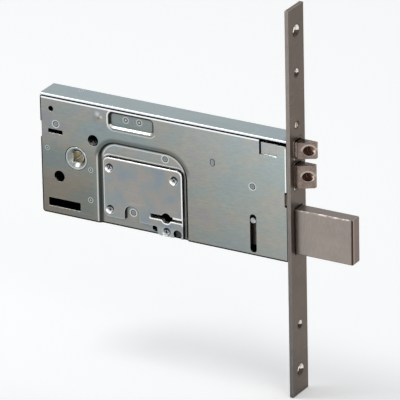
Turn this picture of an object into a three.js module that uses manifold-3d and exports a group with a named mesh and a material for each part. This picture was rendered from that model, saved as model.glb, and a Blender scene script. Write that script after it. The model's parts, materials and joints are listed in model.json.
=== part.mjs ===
import * as THREE from 'three';
import { mergeVertices } from 'three/addons/utils/BufferGeometryUtils.js';
import Module from 'manifold-3d';

const wasm = await Module();
wasm.setup();

// A mortise lock for a double-bit key. Lengths are millimetres. X points out of the door's
// edge, Y from the cover to the back of the case and Z up. The origin is on the faceplate's
// front, in the middle of the case's thickness and height.

// Clearances
const seatGap = 0.3;
const slideGap = 0.4;
const overrun = 2;

// Smoothness of round shapes
const fineSides = 24;
const roughSides = 12;
const cornerSteps = 5;

// Case
const caseHeight = 91.8;
const caseDepth = 21;
const sheet = 1.6;
const rearRoom = 28.9;
const coverTopGap = 0.7;
const coverFrontGap = 0.5;
const coverCorner = 2;
const lugHeight = 16;
const lugWidth = 14;

// Faceplate
const faceplateThickness = 3;
const faceplateWidth = 22;
const faceplateAbove = 97.9;
const faceplateBelow = 104;
const endHoleRadius = 2.7;
const endHoleHeadRadius = 4.4;
const endHoleInset = 17.9;
const midHoleRadius = 1.9;
const midHoleHeadRadius = 3.2;
const midHoleUpperInset = 49.3;
const midHoleLowerInset = 53;
const lugScrewReach = 9.3;
const frontBracketHeight = 10.6;
const frontBracketLiftShare = 0.51362;
const frontBracketGap = 2.55;
const frontTabHeight = 8.4;

// Screws
const screwRadius = 1.5;
const screwHeadRadius = 3;
const screwHeadHeight = 1.4;
const crossWidth = 0.8;
const crossLength = 3.6;
const crossDepth = 0.9;

// Deadbolt
const boltThickness = 10.2;
const boltLift = 5;
const boltProjection = 45.8;
const boltThrow = 45;
const boltInside = 37.2;
const boltChamfer = 0.9;
const tailThickness = 2.2;
const tailHeight = 17.5;
const tailAxisDrop = 5.5;
const tailEnd = 4;
const tailFillet = 3;
const tailFootHeight = 34;
const tailFootLength = 22;
const tailRivetRadius = 2;
const tailRivetInset = 5.8;
const tailRivetDepth = 7;
const tailRivetHead = 0.5;
const tailPostBeforeKey = 7.75;
const postSpigot = 1.4;
const fenceLength = 4;
const fenceHeight = 4;
const fenceSpigot = 1.4;
const fenceBehindKey = 2.25;
const toothCount = 4;
const toothWidth = 6;
const toothDepth = 3.9;
const toothClearance = 1.45;

// Key and levers
const keyLift = 14.4;
const keyholeLength = 25.7;
const keyholeHeight = 3.3;
const keyholeRadius = 3.9;
const keyArchGap = 0.8;
const leverCount = 6;
const leverThickness = 1.6;
const leverGap = 0.3;
const leverFloorGap = 0.7;
const leverRim = 3.2;
const leverToBolt = 2.4;
const leverLift = 2;
const leverShoulder = 5.8;
const leverShoulderHeight = 27.6;
const leverPocketHeight = 3.6;
const leverCorner = 2;
const leverRearCorner = 10;
const leverOverPillar = 1.1;
const leafThickness = 0.5;
const leafWidth = 1.2;
const leafLength = 30;
const leafBlockLength = 6;
const leafBlockHeight = 4;
const leafBlockBehindKey = 46.25;
const leafBlockRise = 4;

// Follower
const keyToFollower = 73.3;
const followerLiftShare = 0.50327;
const followerRadius = 8.8;
const followerFlange = 10.6;
const followerDisc = 12.6;
const followerDish = 6.9;
const followerDishDepth = 1.3;
const spindleSquare = 8.1;
const fixingAcross = 14.3;
const fixingUp = 16.5;
const fixingRadius = 4.2;
const armThickness = 4;
const armPadRadius = 2.2;
const armRootWidth = 7;
const armTipWidth = 3.4;
const followerPegRadius = 1.2;
const followerPegReach = 14;
const followerPegHeight = 1.9;
const followerTurn = THREE.MathUtils.degToRad(33);

// Latch bolts
const latchThickness = 8.6;
const latchTopGap = 0.4;
const latchSpacing = 4.8;
const upperLatchHeight = 12.4;
const upperLatchProjection = 13.9;
const lowerLatchProjection = 12.8;
const latchInside = 27.4;
const bevelInset = 3.2;
const noseThickness = 2.6;
const noseHoleRadius = 3.4;
const noseHoleInset = 4.5;
const noseHoleFloor = 1.4;
const latchTailRadius = 2.5;
const latchTailLength = 50;
const latchCollarRadius = 3.6;
const latchCollarLength = 4;
const bracketThickness = 3;
const pullerToBracket = 5.8;
const tenonLift = 9.5;
const tenonRise = 1;
const pullerHeight = 7;
const pullerRise = 1.6;
const pullerThickness = 2.5;
const pullerWidth = 11;
const pullerFoot = 2.6;
const pullerTab = 3;
const pullerTabDrop = 1.5;

// Vertical slider
const sliderX = -30.8;
const sliderThickness = 2;
const sliderWidth = 9.8;
const sliderBelowCam = 10.8;
const sliderWall = 3.2;
const sliderTopGap = 8;
const sliderPinRadius = 2.2;
const sliderPinNeck = 1.4;
const sliderPinInset = 2.5;
const camPinRadius = 2;
const camPinDrop = 4.3;
const camPinDepth = 4.6;
const camArmGap = 0.93;

// Pillars
const pillarRadius = 2.2;
const pillarSpigot = 1.9;
const rearPillarInset = 12.7;
const rearPillarDrop = 22.1;
const topPillarBehindKey = 1;
const topPillarDrop = 4.9;
const keyPillarBehindKey = 28;
const keyPillarDrop = 1.9;

// Pressed and pierced shapes of the cover
const pocketDepth = 1.7;
const pocketBehindKey = 54.2;
const pocketBeforeKey = 16.8;
const pocketHeightShare = 0.695;
const pocketRearRadius = 14;
const pocketFrontRadius = 17.3;
const labelLength = 37.1;
const labelHeight = 12.6;
const labelBehindKey = 46;
const labelDrop = 1.6;
const labelRadius = 4;
const labelWall = 1.2;
const labelSlope = 2;
const windowLength = 26.1;
const windowHeight = 6.3;
const windowInset = 5.3;
const windowLift = 5.7;
const rearSlotLength = 11.8;
const rearSlotHeight = 3.1;
const rearSlotInset = 6.3;
const rearSlotDrop = 26.5;
const rearHoleRadius = 2;
const rearHoleInset = 8.9;
const rearHoleDrop = 10.9;
const edgeNotchDepth = 0.8;
const edgeNotchHeight = 12;
const edgeNotchDrop = 21.8;
const frontNotchDepth = 1.6;
const frontNotchHeight = 11.1;
const cornerSlit = 1;
const cornerSlitFromFront = 24;
const cornerSlitDrop = 11;
const cornerDrop = 1.9;
const tabLength = 13.5;
const tabInset = 0.8;
const coverSlotHeadroom = 2;

// Guard plate
const guardThickness = 1.9;
const guardInset = 3.2;
const guardDrop = 11.2;
const guardLift = 6.8;
const guardCorner = 4.6;
const guardFillet = 3.5;
const guardEdge = 0.4;
const guardLobeLift = 0.4;
const guardLobeBehindKey = 7.4;
const guardLobeCorner = 3;
const guardNotchRadius = 5.9;
const guardNotchRise = 5.3;
const guardHoleRadius = 3.5;
const guardHoleInset = 4.1;
const guardHoleLift = 3.2;
const guardScrewRearInset = 4.9;
const guardScrewFrontInset = 6.8;
const guardScrewDrop = 8;
const guardScrewRise = 5.8;
const guardLobeScrewLift = 3.9;
const drainHoleRadius = 2.7;
const drainHoleBehindKey = 9.9;
const drainHoleLift = 4.3;

// Springs
const latchWireRadius = 0.45;
const latchCoilRadius = 3.6;
const latchCurls = 9;
const followerWireRadius = 0.55;
const followerCoilRadius = 10.4;
const followerCurls = 3;
const followerLeg = 5;
const springGap = 0.35;
const anchorRadius = 1.4;
const anchorSpigot = 1;
const anchorReach = 13.8;
const anchorLength = 2.4;
const stepsPerCurl = 8;
const wireSides = 5;

// Planes of the case
const coverFace = -caseDepth / 2;
const backFace = caseDepth / 2;
const coverInside = coverFace + sheet;
const backInside = backFace - sheet;
const caseTop = caseHeight / 2;
const caseBottom = -caseTop;
const topInside = caseTop - sheet;
const bottomInside = caseBottom + sheet;
const faceplateBack = -faceplateThickness;
const caseFront = faceplateBack - seatGap;
const coverFront = faceplateBack - coverFrontGap;
const coverTop = topInside - coverTopGap;
const pocketFloor = coverFace + pocketDepth;
const pocketInside = pocketFloor + sheet;

// Places that several pieces share
const boltRear = -boltInside;
const boltBottom = caseBottom + boltLift;
const frontBracketZ = caseBottom + caseHeight * frontBracketLiftShare;
const frontBracketRoom = frontBracketHeight / 2 + frontBracketGap;
const boltTop = frontBracketZ - frontBracketRoom;
const boltSide = boltThickness / 2;
const keyReach = keyholeLength / 2 - seatGap;
const keyArchRadius = keyReach + keyArchGap;
const leverFront = boltRear - boltThrow - leverToBolt;
const keyX = leverFront - leverRim - keyArchRadius;
const keyZ = caseBottom + keyLift;
const followerX = keyX - keyToFollower;
const followerZ = caseBottom + caseHeight * followerLiftShare;
const caseRear = followerX - rearRoom;
const pocketRear = keyX - pocketBehindKey;
const pocketFront = keyX + pocketBeforeKey;
const pocketTop = caseBottom + caseHeight * pocketHeightShare;
const upperLatchBottom = topInside - latchTopGap - upperLatchHeight;
const lowerLatchBottom = frontBracketZ + frontBracketRoom;
const lowerLatchHeight = upperLatchBottom - latchSpacing - lowerLatchBottom;
const fixingHoles = [1, -1].map((side) => ({
  x: followerX + side * fixingAcross,
  z: followerZ + side * fixingUp,
}));

// Deadbolt tail and fence
const tailFront = boltRear + tailFootLength;
const tailY = boltSide + seatGap;
const tailBottom = keyZ + keyReach - toothDepth + toothClearance;
const tailTop = tailBottom + tailHeight;
const tailAxis = tailTop - tailAxisDrop;
const fenceFront = keyX - fenceBehindKey;
const fenceRear = fenceFront - fenceLength;
const tailRear = fenceRear - tailEnd;
const tailPostX = keyX + tailPostBeforeKey;
const tailRivets = [
  { x: boltRear + tailRivetInset, z: tailTop - tailFootHeight + tailRivetInset },
  { x: tailFront - tailRivetInset, z: boltTop - tailRivetInset },
];

// Levers
const leverFace = pocketInside + leverFloorGap;
const leverPitch = leverThickness + leverGap;
const leverPackBack = leverFace + leverPitch * leverCount - leverGap;
const leverWindowRear = fenceRear - boltThrow - 2 * slideGap;
const leverWindowFront = fenceFront + 2 * slideGap;
const leverRear = leverWindowRear - leverRim;
const leverBottom = bottomInside + slideGap;

// Pillars between the sheets, each with its place and the sheet face that its front end meets
const pillars = {
  rear: { x: caseRear + rearPillarInset, z: caseTop - rearPillarDrop, face: coverFace },
  top: { x: keyX - topPillarBehindKey, z: pocketTop - topPillarDrop, face: pocketFloor },
  key: { x: keyX - keyPillarBehindKey, z: keyZ - keyPillarDrop, face: pocketFloor },
  front: { x: sliderX, z: lowerLatchBottom - pillarRadius - seatGap, face: coverFace },
};
const leverTop = pillars.top.z + leverOverPillar;
const leafBlockFront = keyX - leafBlockBehindKey;
const leafBlockRear = leafBlockFront - leafBlockLength;
const leafBlockX = (leafBlockFront + leafBlockRear) / 2;
const leafBlockBottom = leverTop + leafBlockRise;
const leafBlockZ = leafBlockBottom + leafBlockHeight / 2;

// Latches and the bar that pulls them
const latches = {
  upper: { bottom: upperLatchBottom, height: upperLatchHeight, projection: upperLatchProjection },
  lower: { bottom: lowerLatchBottom, height: lowerLatchHeight, projection: lowerLatchProjection },
};
const latchRear = -latchInside;
const latchSide = latchThickness / 2;
const latchTailEnd = latchRear - latchTailLength;
const pullerX = latchTailEnd + latchCollarLength + seatGap;
const latchBracketRear = pullerX + bracketThickness + pullerToBracket;
const latchBracketFront = latchBracketRear + bracketThickness;
const tailHeights = Object.values(latches).map(({ bottom, height }) => bottom + height / 2);
const tailsMiddle = (Math.min(...tailHeights) + Math.max(...tailHeights)) / 2;
const pullerBottom = tailsMiddle + pullerRise - pullerHeight / 2;
const armLength = pullerBottom - slideGap - armPadRadius - followerZ;
const armRest = followerTurn / 2;
const armTipX = followerX + armLength * Math.sin(armRest);
const armTipZ = followerZ + armLength * Math.cos(armRest);
const tailHoleRadius = latchTailRadius + seatGap;
const tenonX = (latchBracketFront + latchBracketRear) / 2;
const tenonZ = lowerLatchBottom + tenonLift;

// The follower's spring: one leg lies beside the arm's peg and the other beside the anchor post
const armAngle = Math.PI / 2 - armRest;
const pegTurn = (followerPegRadius + springGap + followerWireRadius) / followerPegReach;
const anchorTurn = (anchorRadius + springGap + followerWireRadius) / anchorReach;
const springAngle = armAngle + pegTurn;
const anchorX = followerX + anchorReach * Math.cos(springAngle + anchorTurn);
const anchorZ = followerZ + anchorReach * Math.sin(springAngle + anchorTurn);
const anchorFront = backInside - anchorLength;

// Vertical slider
const sliderFace = coverInside + slideGap;
const sliderBack = sliderFace + sliderThickness;
const camPinZ = boltTop - camPinDrop;
const sliderBottom = camPinZ - sliderBelowCam;
const sliderTravel = sliderBottom - bottomInside - slideGap;
const sliderTop = topInside - sliderTopGap;
const sliderPinZ = sliderBottom + sliderPinInset;
const camSlotHalf = camPinRadius + slideGap;
const camSlope = Math.atan2(sliderTravel, boltThrow);
const camArmTop = camPinZ + (sliderX - latchBracketRear) * Math.tan(camSlope)
  + (camSlotHalf + sliderWall) / Math.cos(camSlope);

// Guard plate
const guardRear = pocketRear + guardInset;
const guardFront = pocketFront - guardInset;
const guardTop = pocketTop - guardDrop;
const guardBottom = caseBottom + guardLift;
const guardBack = pocketFloor - seatGap;
const guardFace = guardBack - guardThickness;
const guardScrews = [
  { x: guardRear + guardScrewRearInset, z: guardTop - guardScrewDrop },
  { x: guardFront - guardScrewFrontInset, z: guardTop - guardScrewDrop },
  { x: guardRear + guardScrewRearInset, z: guardBottom + guardScrewRise },
  { x: keyX, z: caseBottom + guardLobeScrewLift },
];

// Solids

function solidOf(geometry) {
  const plain = geometry.index ? geometry.toNonIndexed() : geometry.clone();
  plain.deleteAttribute('normal');
  plain.deleteAttribute('uv');
  const merged = mergeVertices(plain);
  return new wasm.Manifold(new wasm.Mesh({
    numProp: 3,
    vertProperties: new Float32Array(merged.attributes.position.array),
    triVerts: new Uint32Array(merged.index.array),
  }));
}

function geometryOf(solid) {
  const mesh = solid.getMesh();
  const geometry = new THREE.BufferGeometry();
  geometry.setAttribute('position', new THREE.BufferAttribute(mesh.vertProperties, 3));
  geometry.setIndex(new THREE.BufferAttribute(mesh.triVerts, 1));
  const flat = geometry.toNonIndexed();
  flat.computeVertexNormals();
  return flat;
}

function join(...solids) {
  return solids.reduce((all, next) => all.add(next));
}

function cut(base, ...tools) {
  return tools.reduce((left, tool) => left.subtract(tool), base);
}

function block(x0, x1, y0, y1, z0, z1) {
  const geometry = new THREE.BoxGeometry(x1 - x0, y1 - y0, z1 - z0);
  geometry.translate((x0 + x1) / 2, (y0 + y1) / 2, (z0 + z1) / 2);
  return solidOf(geometry);
}

// A round bar or cone along Y, with its radius at the front and at the back.
function coneY(x, z, frontRadius, backRadius, front, back, sides = roughSides) {
  const geometry = new THREE.CylinderGeometry(backRadius, frontRadius, back - front, sides);
  geometry.translate(x, (front + back) / 2, z);
  return solidOf(geometry);
}

function rodY(x, z, radius, front, back, sides = roughSides) {
  return coneY(x, z, radius, radius, front, back, sides);
}

// A round bar or cone along X, with its radius at the rear and at the front.
function coneX(y, z, rearRadius, frontRadius, rear, front, sides = roughSides) {
  const geometry = new THREE.CylinderGeometry(frontRadius, rearRadius, front - rear, sides);
  geometry.rotateZ(-Math.PI / 2);
  geometry.translate((rear + front) / 2, y, z);
  return solidOf(geometry);
}

function rodX(y, z, radius, rear, front, sides = roughSides) {
  return coneX(y, z, radius, radius, rear, front, sides);
}

// An outline in X and Z, as thick as the distance from front to back.
function slab(shape, front, back) {
  const geometry = new THREE.ExtrudeGeometry(shape, {
    depth: back - front,
    bevelEnabled: false,
    curveSegments: cornerSteps,
  });
  geometry.rotateX(Math.PI / 2);
  geometry.translate(0, back, 0);
  return solidOf(geometry);
}

// The space of a pressed recess: straight above the front plane and sloping in to the floor.
function sunk(shape, front, floor, slope) {
  const depth = floor - front;
  const geometry = new THREE.ExtrudeGeometry(shape, {
    depth: overrun,
    bevelThickness: depth,
    bevelSize: slope,
    bevelOffset: -slope,
    bevelSegments: 1,
    curveSegments: cornerSteps,
  });
  geometry.rotateX(Math.PI / 2);
  geometry.translate(0, front, 0);
  return solidOf(geometry);
}

// An outline in X and Y, as tall as the distance from bottom to top.
function prism(shape, bottom, top) {
  const geometry = new THREE.ExtrudeGeometry(shape, { depth: top - bottom, bevelEnabled: false });
  geometry.translate(0, 0, bottom);
  return solidOf(geometry);
}

// A closed outline through corners that each have a place and a radius.
function roundedShape(corners) {
  const shape = new THREE.Shape();
  corners.forEach(([x, z, radius], index) => {
    const before = corners.at(index - 1);
    const after = corners[(index + 1) % corners.length];
    const corner = new THREE.Vector2(x, z);
    const back = new THREE.Vector2(before[0] - x, before[1] - z).normalize();
    const ahead = new THREE.Vector2(after[0] - x, after[1] - z).normalize();
    const half = Math.acos(THREE.MathUtils.clamp(back.dot(ahead), -1, 1)) / 2;
    const start = corner.clone().addScaledVector(back, radius / Math.tan(half));
    if (index === 0) shape.moveTo(start.x, start.y);
    else shape.lineTo(start.x, start.y);
    if (radius === 0) return;
    const middle = back.clone().add(ahead).normalize();
    const centre = corner.clone().addScaledVector(middle, radius / Math.sin(half));
    const leftTurn = ahead.cross(back) > 0;
    const end = corner.clone().addScaledVector(ahead, radius / Math.tan(half));
    const startAngle = start.clone().sub(centre).angle();
    const endAngle = end.sub(centre).angle();
    shape.absarc(centre.x, centre.y, radius, startAngle, endAngle, !leftTurn);
  });
  shape.closePath();
  return shape;
}

function roundedRectangle(x0, x1, z0, z1, radius) {
  return roundedShape([[x0, z0, radius], [x1, z0, radius], [x1, z1, radius], [x0, z1, radius]]);
}

// A slot with round ends about two centres.
function slotShape(x0, z0, x1, z1, halfWidth) {
  const turn = Math.atan2(z1 - z0, x1 - x0);
  const quarter = Math.PI / 2;
  const shape = new THREE.Shape();
  shape.absarc(x1, z1, halfWidth, turn - quarter, turn + quarter, false);
  shape.absarc(x0, z0, halfWidth, turn + quarter, turn + 3 * quarter, false);
  shape.closePath();
  return shape;
}

// A wire of five sides along points that lie on its middle line, with flat ends.
function wire(points, radius) {
  const positions = [];
  const faces = [];
  const tangentAt = (index) => {
    const before = points[Math.max(index - 1, 0)];
    const after = points[Math.min(index + 1, points.length - 1)];
    return after.clone().sub(before).normalize();
  };
  let normal = new THREE.Vector3(0, 1, 0);
  if (Math.abs(tangentAt(0).y) > Math.SQRT1_2) normal = new THREE.Vector3(0, 0, 1);
  points.forEach((point, index) => {
    const tangent = tangentAt(index);
    normal.addScaledVector(tangent, -normal.dot(tangent)).normalize();
    const side = tangent.clone().cross(normal);
    for (let step = 0; step < wireSides; step += 1) {
      const angle = (2 * Math.PI * step) / wireSides;
      const place = point.clone();
      place.addScaledVector(normal, radius * Math.cos(angle));
      place.addScaledVector(side, radius * Math.sin(angle));
      positions.push(place.x, place.y, place.z);
    }
  });
  for (let ring = 0; ring + 1 < points.length; ring += 1) {
    for (let step = 0; step < wireSides; step += 1) {
      const next = (step + 1) % wireSides;
      const a = ring * wireSides + step;
      const b = ring * wireSides + next;
      faces.push(a, b, b + wireSides, a, b + wireSides, a + wireSides);
    }
  }
  const lastRing = (points.length - 1) * wireSides;
  for (let step = 1; step + 1 < wireSides; step += 1) {
    faces.push(0, step + 1, step);
    faces.push(lastRing, lastRing + step, lastRing + step + 1);
  }
  const geometry = new THREE.BufferGeometry();
  geometry.setAttribute('position', new THREE.Float32BufferAttribute(positions, 3));
  geometry.setIndex(faces);
  return solidOf(geometry);
}

// The least space between the turns of a wire, measured between points half a curl apart or more.
function leastGap(points, radius) {
  let least = Infinity;
  points.forEach((point, index) => {
    for (let other = index + stepsPerCurl / 2; other < points.length; other += 1) {
      least = Math.min(least, point.distanceTo(points[other]) - 2 * radius);
    }
  });
  return least;
}

// Materials

function metal(colour, roughness) {
  return new THREE.MeshStandardMaterial({ color: colour, metalness: 1, roughness });
}

const zincSheet = () => metal(0x8f9a9b, 0.42);
const darkSteel = () => metal(0x6b6057, 0.5);
const brushedSteel = () => metal(0x9a9089, 0.38);
const castLatch = () => metal(0x8a7a70, 0.34);
const hardenedSteel = () => metal(0x87908f, 0.4);
const screwSteel = () => metal(0xa9b0b0, 0.3);
const innerSteel = () => metal(0x80868a, 0.45);
const springSteel = () => metal(0x6d7073, 0.35);
const castZinc = () => metal(0xa5a9a8, 0.36);

const lock = new THREE.Group();

function addPiece(name, solid, material) {
  const mesh = new THREE.Mesh(geometryOf(solid), material);
  mesh.name = name;
  lock.add(mesh);
}

// Holes that both sheets of the case share

function keyhole(front, back) {
  return join(
    block(keyX - keyholeLength / 2, keyX + keyholeLength / 2, front, back,
      keyZ - keyholeHeight / 2, keyZ + keyholeHeight / 2),
    rodY(keyX, keyZ, keyholeRadius, front, back),
  );
}

function throughHoles(front, back) {
  return join(
    rodY(followerX, followerZ, followerRadius + seatGap, front, back, fineSides),
    ...fixingHoles.map(({ x, z }) => rodY(x, z, fixingRadius, front, back, fineSides)),
    ...Object.values(pillars).map(({ x, z }) => rodY(x, z, pillarSpigot + seatGap, front, back)),
  );
}

function caseTray() {
  const wallFace = coverInside + seatGap;
  const lugSide = lugWidth / 2;
  const shell = join(
    block(caseRear, caseFront, backInside, backFace, caseBottom, caseTop),
    block(caseRear, caseFront, coverFace, backFace, topInside, caseTop),
    block(caseRear, caseFront, wallFace, backFace, caseBottom, bottomInside),
    block(caseRear, caseRear + sheet, wallFace, backFace, caseBottom, caseTop),
    block(caseFront - sheet, caseFront, -lugSide, lugSide, topInside, caseTop + lugHeight),
    block(caseFront - sheet, caseFront, -lugSide, lugSide, caseBottom - lugHeight, bottomInside),
  );
  return cut(
    shell,
    block(pocketRear - sheet - seatGap, pocketFront + sheet + seatGap, coverFace,
      pocketInside + seatGap, caseBottom - overrun, bottomInside + overrun),
    throughHoles(backInside - overrun, backFace + overrun),
    keyhole(backInside - overrun, backFace + overrun),
    rodY(tailPostX, tailAxis, postSpigot + seatGap, backInside - overrun, backFace + overrun),
    rodY(leafBlockX, leafBlockZ, postSpigot + seatGap, backInside - overrun, backFace + overrun),
    rodY(anchorX, anchorZ, anchorSpigot + seatGap, backInside - overrun, backFace + overrun),
    ...[1, -1].map((side) => rodX(0, side * (caseTop + lugScrewReach), screwRadius + seatGap,
      caseFront - sheet - overrun, caseFront + overrun)),
  );
}

// The pressed pocket and label recess are cut from the front, and the sheet stands out behind.
function pocketOutline(margin) {
  return roundedShape([
    [pocketRear - margin, caseBottom - (margin ? 0 : overrun), 0],
    [pocketFront + margin, caseBottom - (margin ? 0 : overrun), 0],
    [pocketFront + margin, pocketTop + margin, pocketFrontRadius + margin],
    [pocketRear - margin, pocketTop + margin, pocketRearRadius + margin],
  ]);
}

function labelOutline(margin) {
  const rear = keyX - labelBehindKey;
  const top = coverTop - labelDrop;
  return roundedRectangle(rear - margin, rear + labelLength + margin,
    top - labelHeight - margin, top + margin, labelRadius + margin);
}

function coverCuts(front, back) {
  const windowRear = caseRear + windowInset;
  const windowBottom = caseBottom + windowLift;
  const slotRear = caseRear + rearSlotInset;
  const slotTop = caseTop - rearSlotDrop;
  const slitX = -cornerSlitFromFront;
  const notchHalf = frontNotchHeight / 2;
  const notchTop = caseTop - edgeNotchDrop;
  return [
    throughHoles(front, back),
    keyhole(front, back),
    rodY(caseRear + rearHoleInset, caseTop - rearHoleDrop, rearHoleRadius, front, back),
    block(windowRear, windowRear + windowLength, front, back,
      windowBottom, windowBottom + windowHeight),
    block(slotRear, slotRear + rearSlotLength, front, back,
      slotTop - rearSlotHeight, slotTop),
    block(caseRear - overrun, caseRear + edgeNotchDepth, front, back,
      notchTop - edgeNotchHeight, notchTop),
    slab(slotShape(sliderX, sliderPinZ + coverSlotHeadroom, sliderX, sliderPinZ - sliderTravel,
      sliderPinRadius + seatGap), front, back),
    slab(slotShape(tenonX, tenonZ - tenonRise, tenonX, tenonZ + tenonRise,
      bracketThickness / 2 + seatGap), front, back),
    block(slitX - cornerSlit, slitX, front, back, coverTop - cornerSlitDrop, coverTop + overrun),
    block(slitX - cornerSlit, overrun, front, back, coverTop - cornerDrop, coverTop + overrun),
    block(coverFront - frontNotchDepth, overrun, front, back,
      frontBracketZ - notchHalf, frontBracketZ + notchHalf),
    rodY(keyX - drainHoleBehindKey, caseBottom + drainHoleLift, drainHoleRadius, front, back),
    ...guardScrews.map(({ x, z }) => rodY(x, z, screwRadius + seatGap, front, back)),
  ];
}

function caseCover() {
  const plate = slab(roundedShape([
    [caseRear, caseBottom, coverCorner],
    [coverFront, caseBottom, 0],
    [coverFront, coverTop, 0],
    [caseRear, coverTop, 0],
  ]), coverFace, coverInside);
  const tabRear = -cornerSlitFromFront;
  const tabBottom = coverTop - cornerSlitDrop;
  const tabTop = coverTop - cornerDrop;
  const bosses = join(
    plate,
    slab(pocketOutline(sheet), coverFace, pocketInside),
    slab(labelOutline(labelWall), coverFace, pocketInside),
    block(tabRear, tabRear + tabLength, coverInside - tabInset, coverInside + tabInset,
      tabBottom, tabTop),
  );
  return cut(
    bosses,
    slab(pocketOutline(0), coverFace - overrun, pocketFloor),
    sunk(labelOutline(0), coverFace, pocketFloor, labelSlope),
    block(tabRear - cornerSlit / 2, tabRear + tabLength, coverFace - overrun, coverFace + tabInset,
      tabBottom, tabTop + overrun),
    ...coverCuts(coverFace - overrun, pocketInside + overrun),
  );
}

function guardPlate() {
  const notchX = pillars.key.x;
  const notchTop = guardBottom + guardNotchRise + guardNotchRadius;
  const lobeRear = keyX - guardLobeBehindKey;
  const lobeBottom = caseBottom + guardLobeLift;
  const plate = slab(roundedShape([
    [guardRear, guardBottom, guardFillet],
    [notchX - guardNotchRadius, guardBottom, guardEdge],
    [notchX - guardNotchRadius, notchTop, guardNotchRadius - guardEdge],
    [notchX + guardNotchRadius, notchTop, guardNotchRadius - guardEdge],
    [notchX + guardNotchRadius, guardBottom, guardEdge],
    [lobeRear, guardBottom, guardFillet / 2],
    [lobeRear, lobeBottom, guardLobeCorner],
    [guardFront, lobeBottom, guardEdge],
    [guardFront, guardTop, guardCorner],
    [guardRear, guardTop, guardCorner],
  ]), guardFace, guardBack);
  const front = guardFace - overrun;
  const back = guardBack + overrun;
  return cut(
    plate,
    keyhole(front, back),
    rodY(guardFront - guardHoleInset, caseBottom + guardHoleLift, guardHoleRadius, front, back),
    ...guardScrews.map(({ x, z }) => join(
      coneY(x, z, screwHeadRadius + seatGap, screwRadius + seatGap,
        guardFace, guardFace + screwHeadHeight + seatGap),
      rodY(x, z, screwRadius + seatGap, front, back),
    )),
  );
}

function crossRecess(x, z, face) {
  const half = crossLength / 2;
  const thin = crossWidth / 2;
  return join(
    block(x - half, x + half, face - overrun, face + crossDepth, z - thin, z + thin),
    block(x - thin, x + thin, face - overrun, face + crossDepth, z - half, z + half),
  );
}

function guardScrew({ x, z }) {
  const screw = join(
    coneY(x, z, screwHeadRadius, screwRadius, guardFace, guardFace + screwHeadHeight),
    rodY(x, z, screwRadius, guardFace, leverFace - seatGap),
  );
  return cut(screw, crossRecess(x, z, guardFace));
}

function lugScrew(z) {
  const half = crossLength / 2;
  const thin = crossWidth / 2;
  const screw = join(
    coneX(0, z, screwRadius, screwHeadRadius, -screwHeadHeight, 0),
    rodX(0, z, screwRadius, caseFront - sheet - seatGap, 0),
  );
  return cut(
    screw,
    block(-crossDepth, overrun, -half, half, z - thin, z + thin),
    block(-crossDepth, overrun, -thin, thin, z - half, z + half),
  );
}

function countersunkHole(z, radius, headRadius) {
  const cone = headRadius - radius;
  return join(
    rodX(0, z, radius, faceplateBack - overrun, overrun),
    coneX(0, z, radius, headRadius, -cone, 0),
  );
}

function faceplate() {
  const side = faceplateWidth / 2;
  const top = caseTop + faceplateAbove;
  const bottom = caseBottom - faceplateBelow;
  const rear = faceplateBack - overrun;
  const boltGap = boltSide + slideGap;
  const latchGap = latchSide + slideGap;
  const lugHole = screwRadius + seatGap;
  const lugHead = screwHeadRadius + seatGap;
  return cut(
    block(faceplateBack, 0, -side, side, bottom, top),
    block(rear, overrun, -boltGap, boltGap, boltBottom - slideGap, boltTop + slideGap),
    ...Object.values(latches).map((latch) => block(rear, overrun, -latchGap, latchGap,
      latch.bottom - slideGap, latch.bottom + latch.height + slideGap)),
    countersunkHole(top - endHoleInset, endHoleRadius, endHoleHeadRadius),
    countersunkHole(bottom + endHoleInset, endHoleRadius, endHoleHeadRadius),
    countersunkHole(top - midHoleUpperInset, midHoleRadius, midHoleHeadRadius),
    countersunkHole(bottom + midHoleLowerInset, midHoleRadius, midHoleHeadRadius),
    countersunkHole(caseTop + lugScrewReach, lugHole, lugHead),
    countersunkHole(caseBottom - lugScrewReach, lugHole, lugHead),
  );
}

// The block between bolt and latch that carries the faceplate on the case.
function frontBracket() {
  const half = frontBracketHeight / 2;
  const tabHalf = frontTabHeight / 2;
  const rear = tailFront + 2 * slideGap;
  return join(
    block(rear, caseFront, coverInside + seatGap, backInside - seatGap,
      frontBracketZ - half, frontBracketZ + half),
    block(coverFront - frontNotchDepth + seatGap, caseFront, coverFace + seatGap,
      coverInside + 2 * seatGap, frontBracketZ - tabHalf, frontBracketZ + tabHalf),
  );
}

function pillar({ x, z, face }) {
  const inside = face + sheet;
  return join(
    rodY(x, z, pillarRadius, inside + seatGap, backInside - seatGap),
    rodY(x, z, pillarSpigot, face, backFace),
  );
}

function deadboltHead() {
  const shape = roundedShape([
    [-boltSide, boltBottom, 0],
    [boltSide, boltBottom, 0],
    [boltSide, boltTop, 0],
    [-boltSide, boltTop, 0],
  ]);
  const length = boltInside + boltProjection;
  const geometry = new THREE.ExtrudeGeometry(shape, {
    depth: length - 2 * boltChamfer,
    bevelThickness: boltChamfer,
    bevelSize: boltChamfer,
    bevelOffset: -boltChamfer,
    bevelSegments: 1,
  });
  const axes = new THREE.Matrix4().makeBasis(
    new THREE.Vector3(0, 1, 0),
    new THREE.Vector3(0, 0, 1),
    new THREE.Vector3(1, 0, 0),
  );
  geometry.applyMatrix4(axes);
  geometry.translate(boltRear + boltChamfer, 0, 0);
  return cut(
    solidOf(geometry),
    ...tailRivets.map(({ x, z }) => rodY(x, z, tailRivetRadius + seatGap,
      boltSide - tailRivetDepth - seatGap, boltSide + overrun)),
    rodY(sliderX, camPinZ, camPinRadius + seatGap, -boltSide - overrun,
      -boltSide + camPinDepth + seatGap),
  );
}

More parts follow.
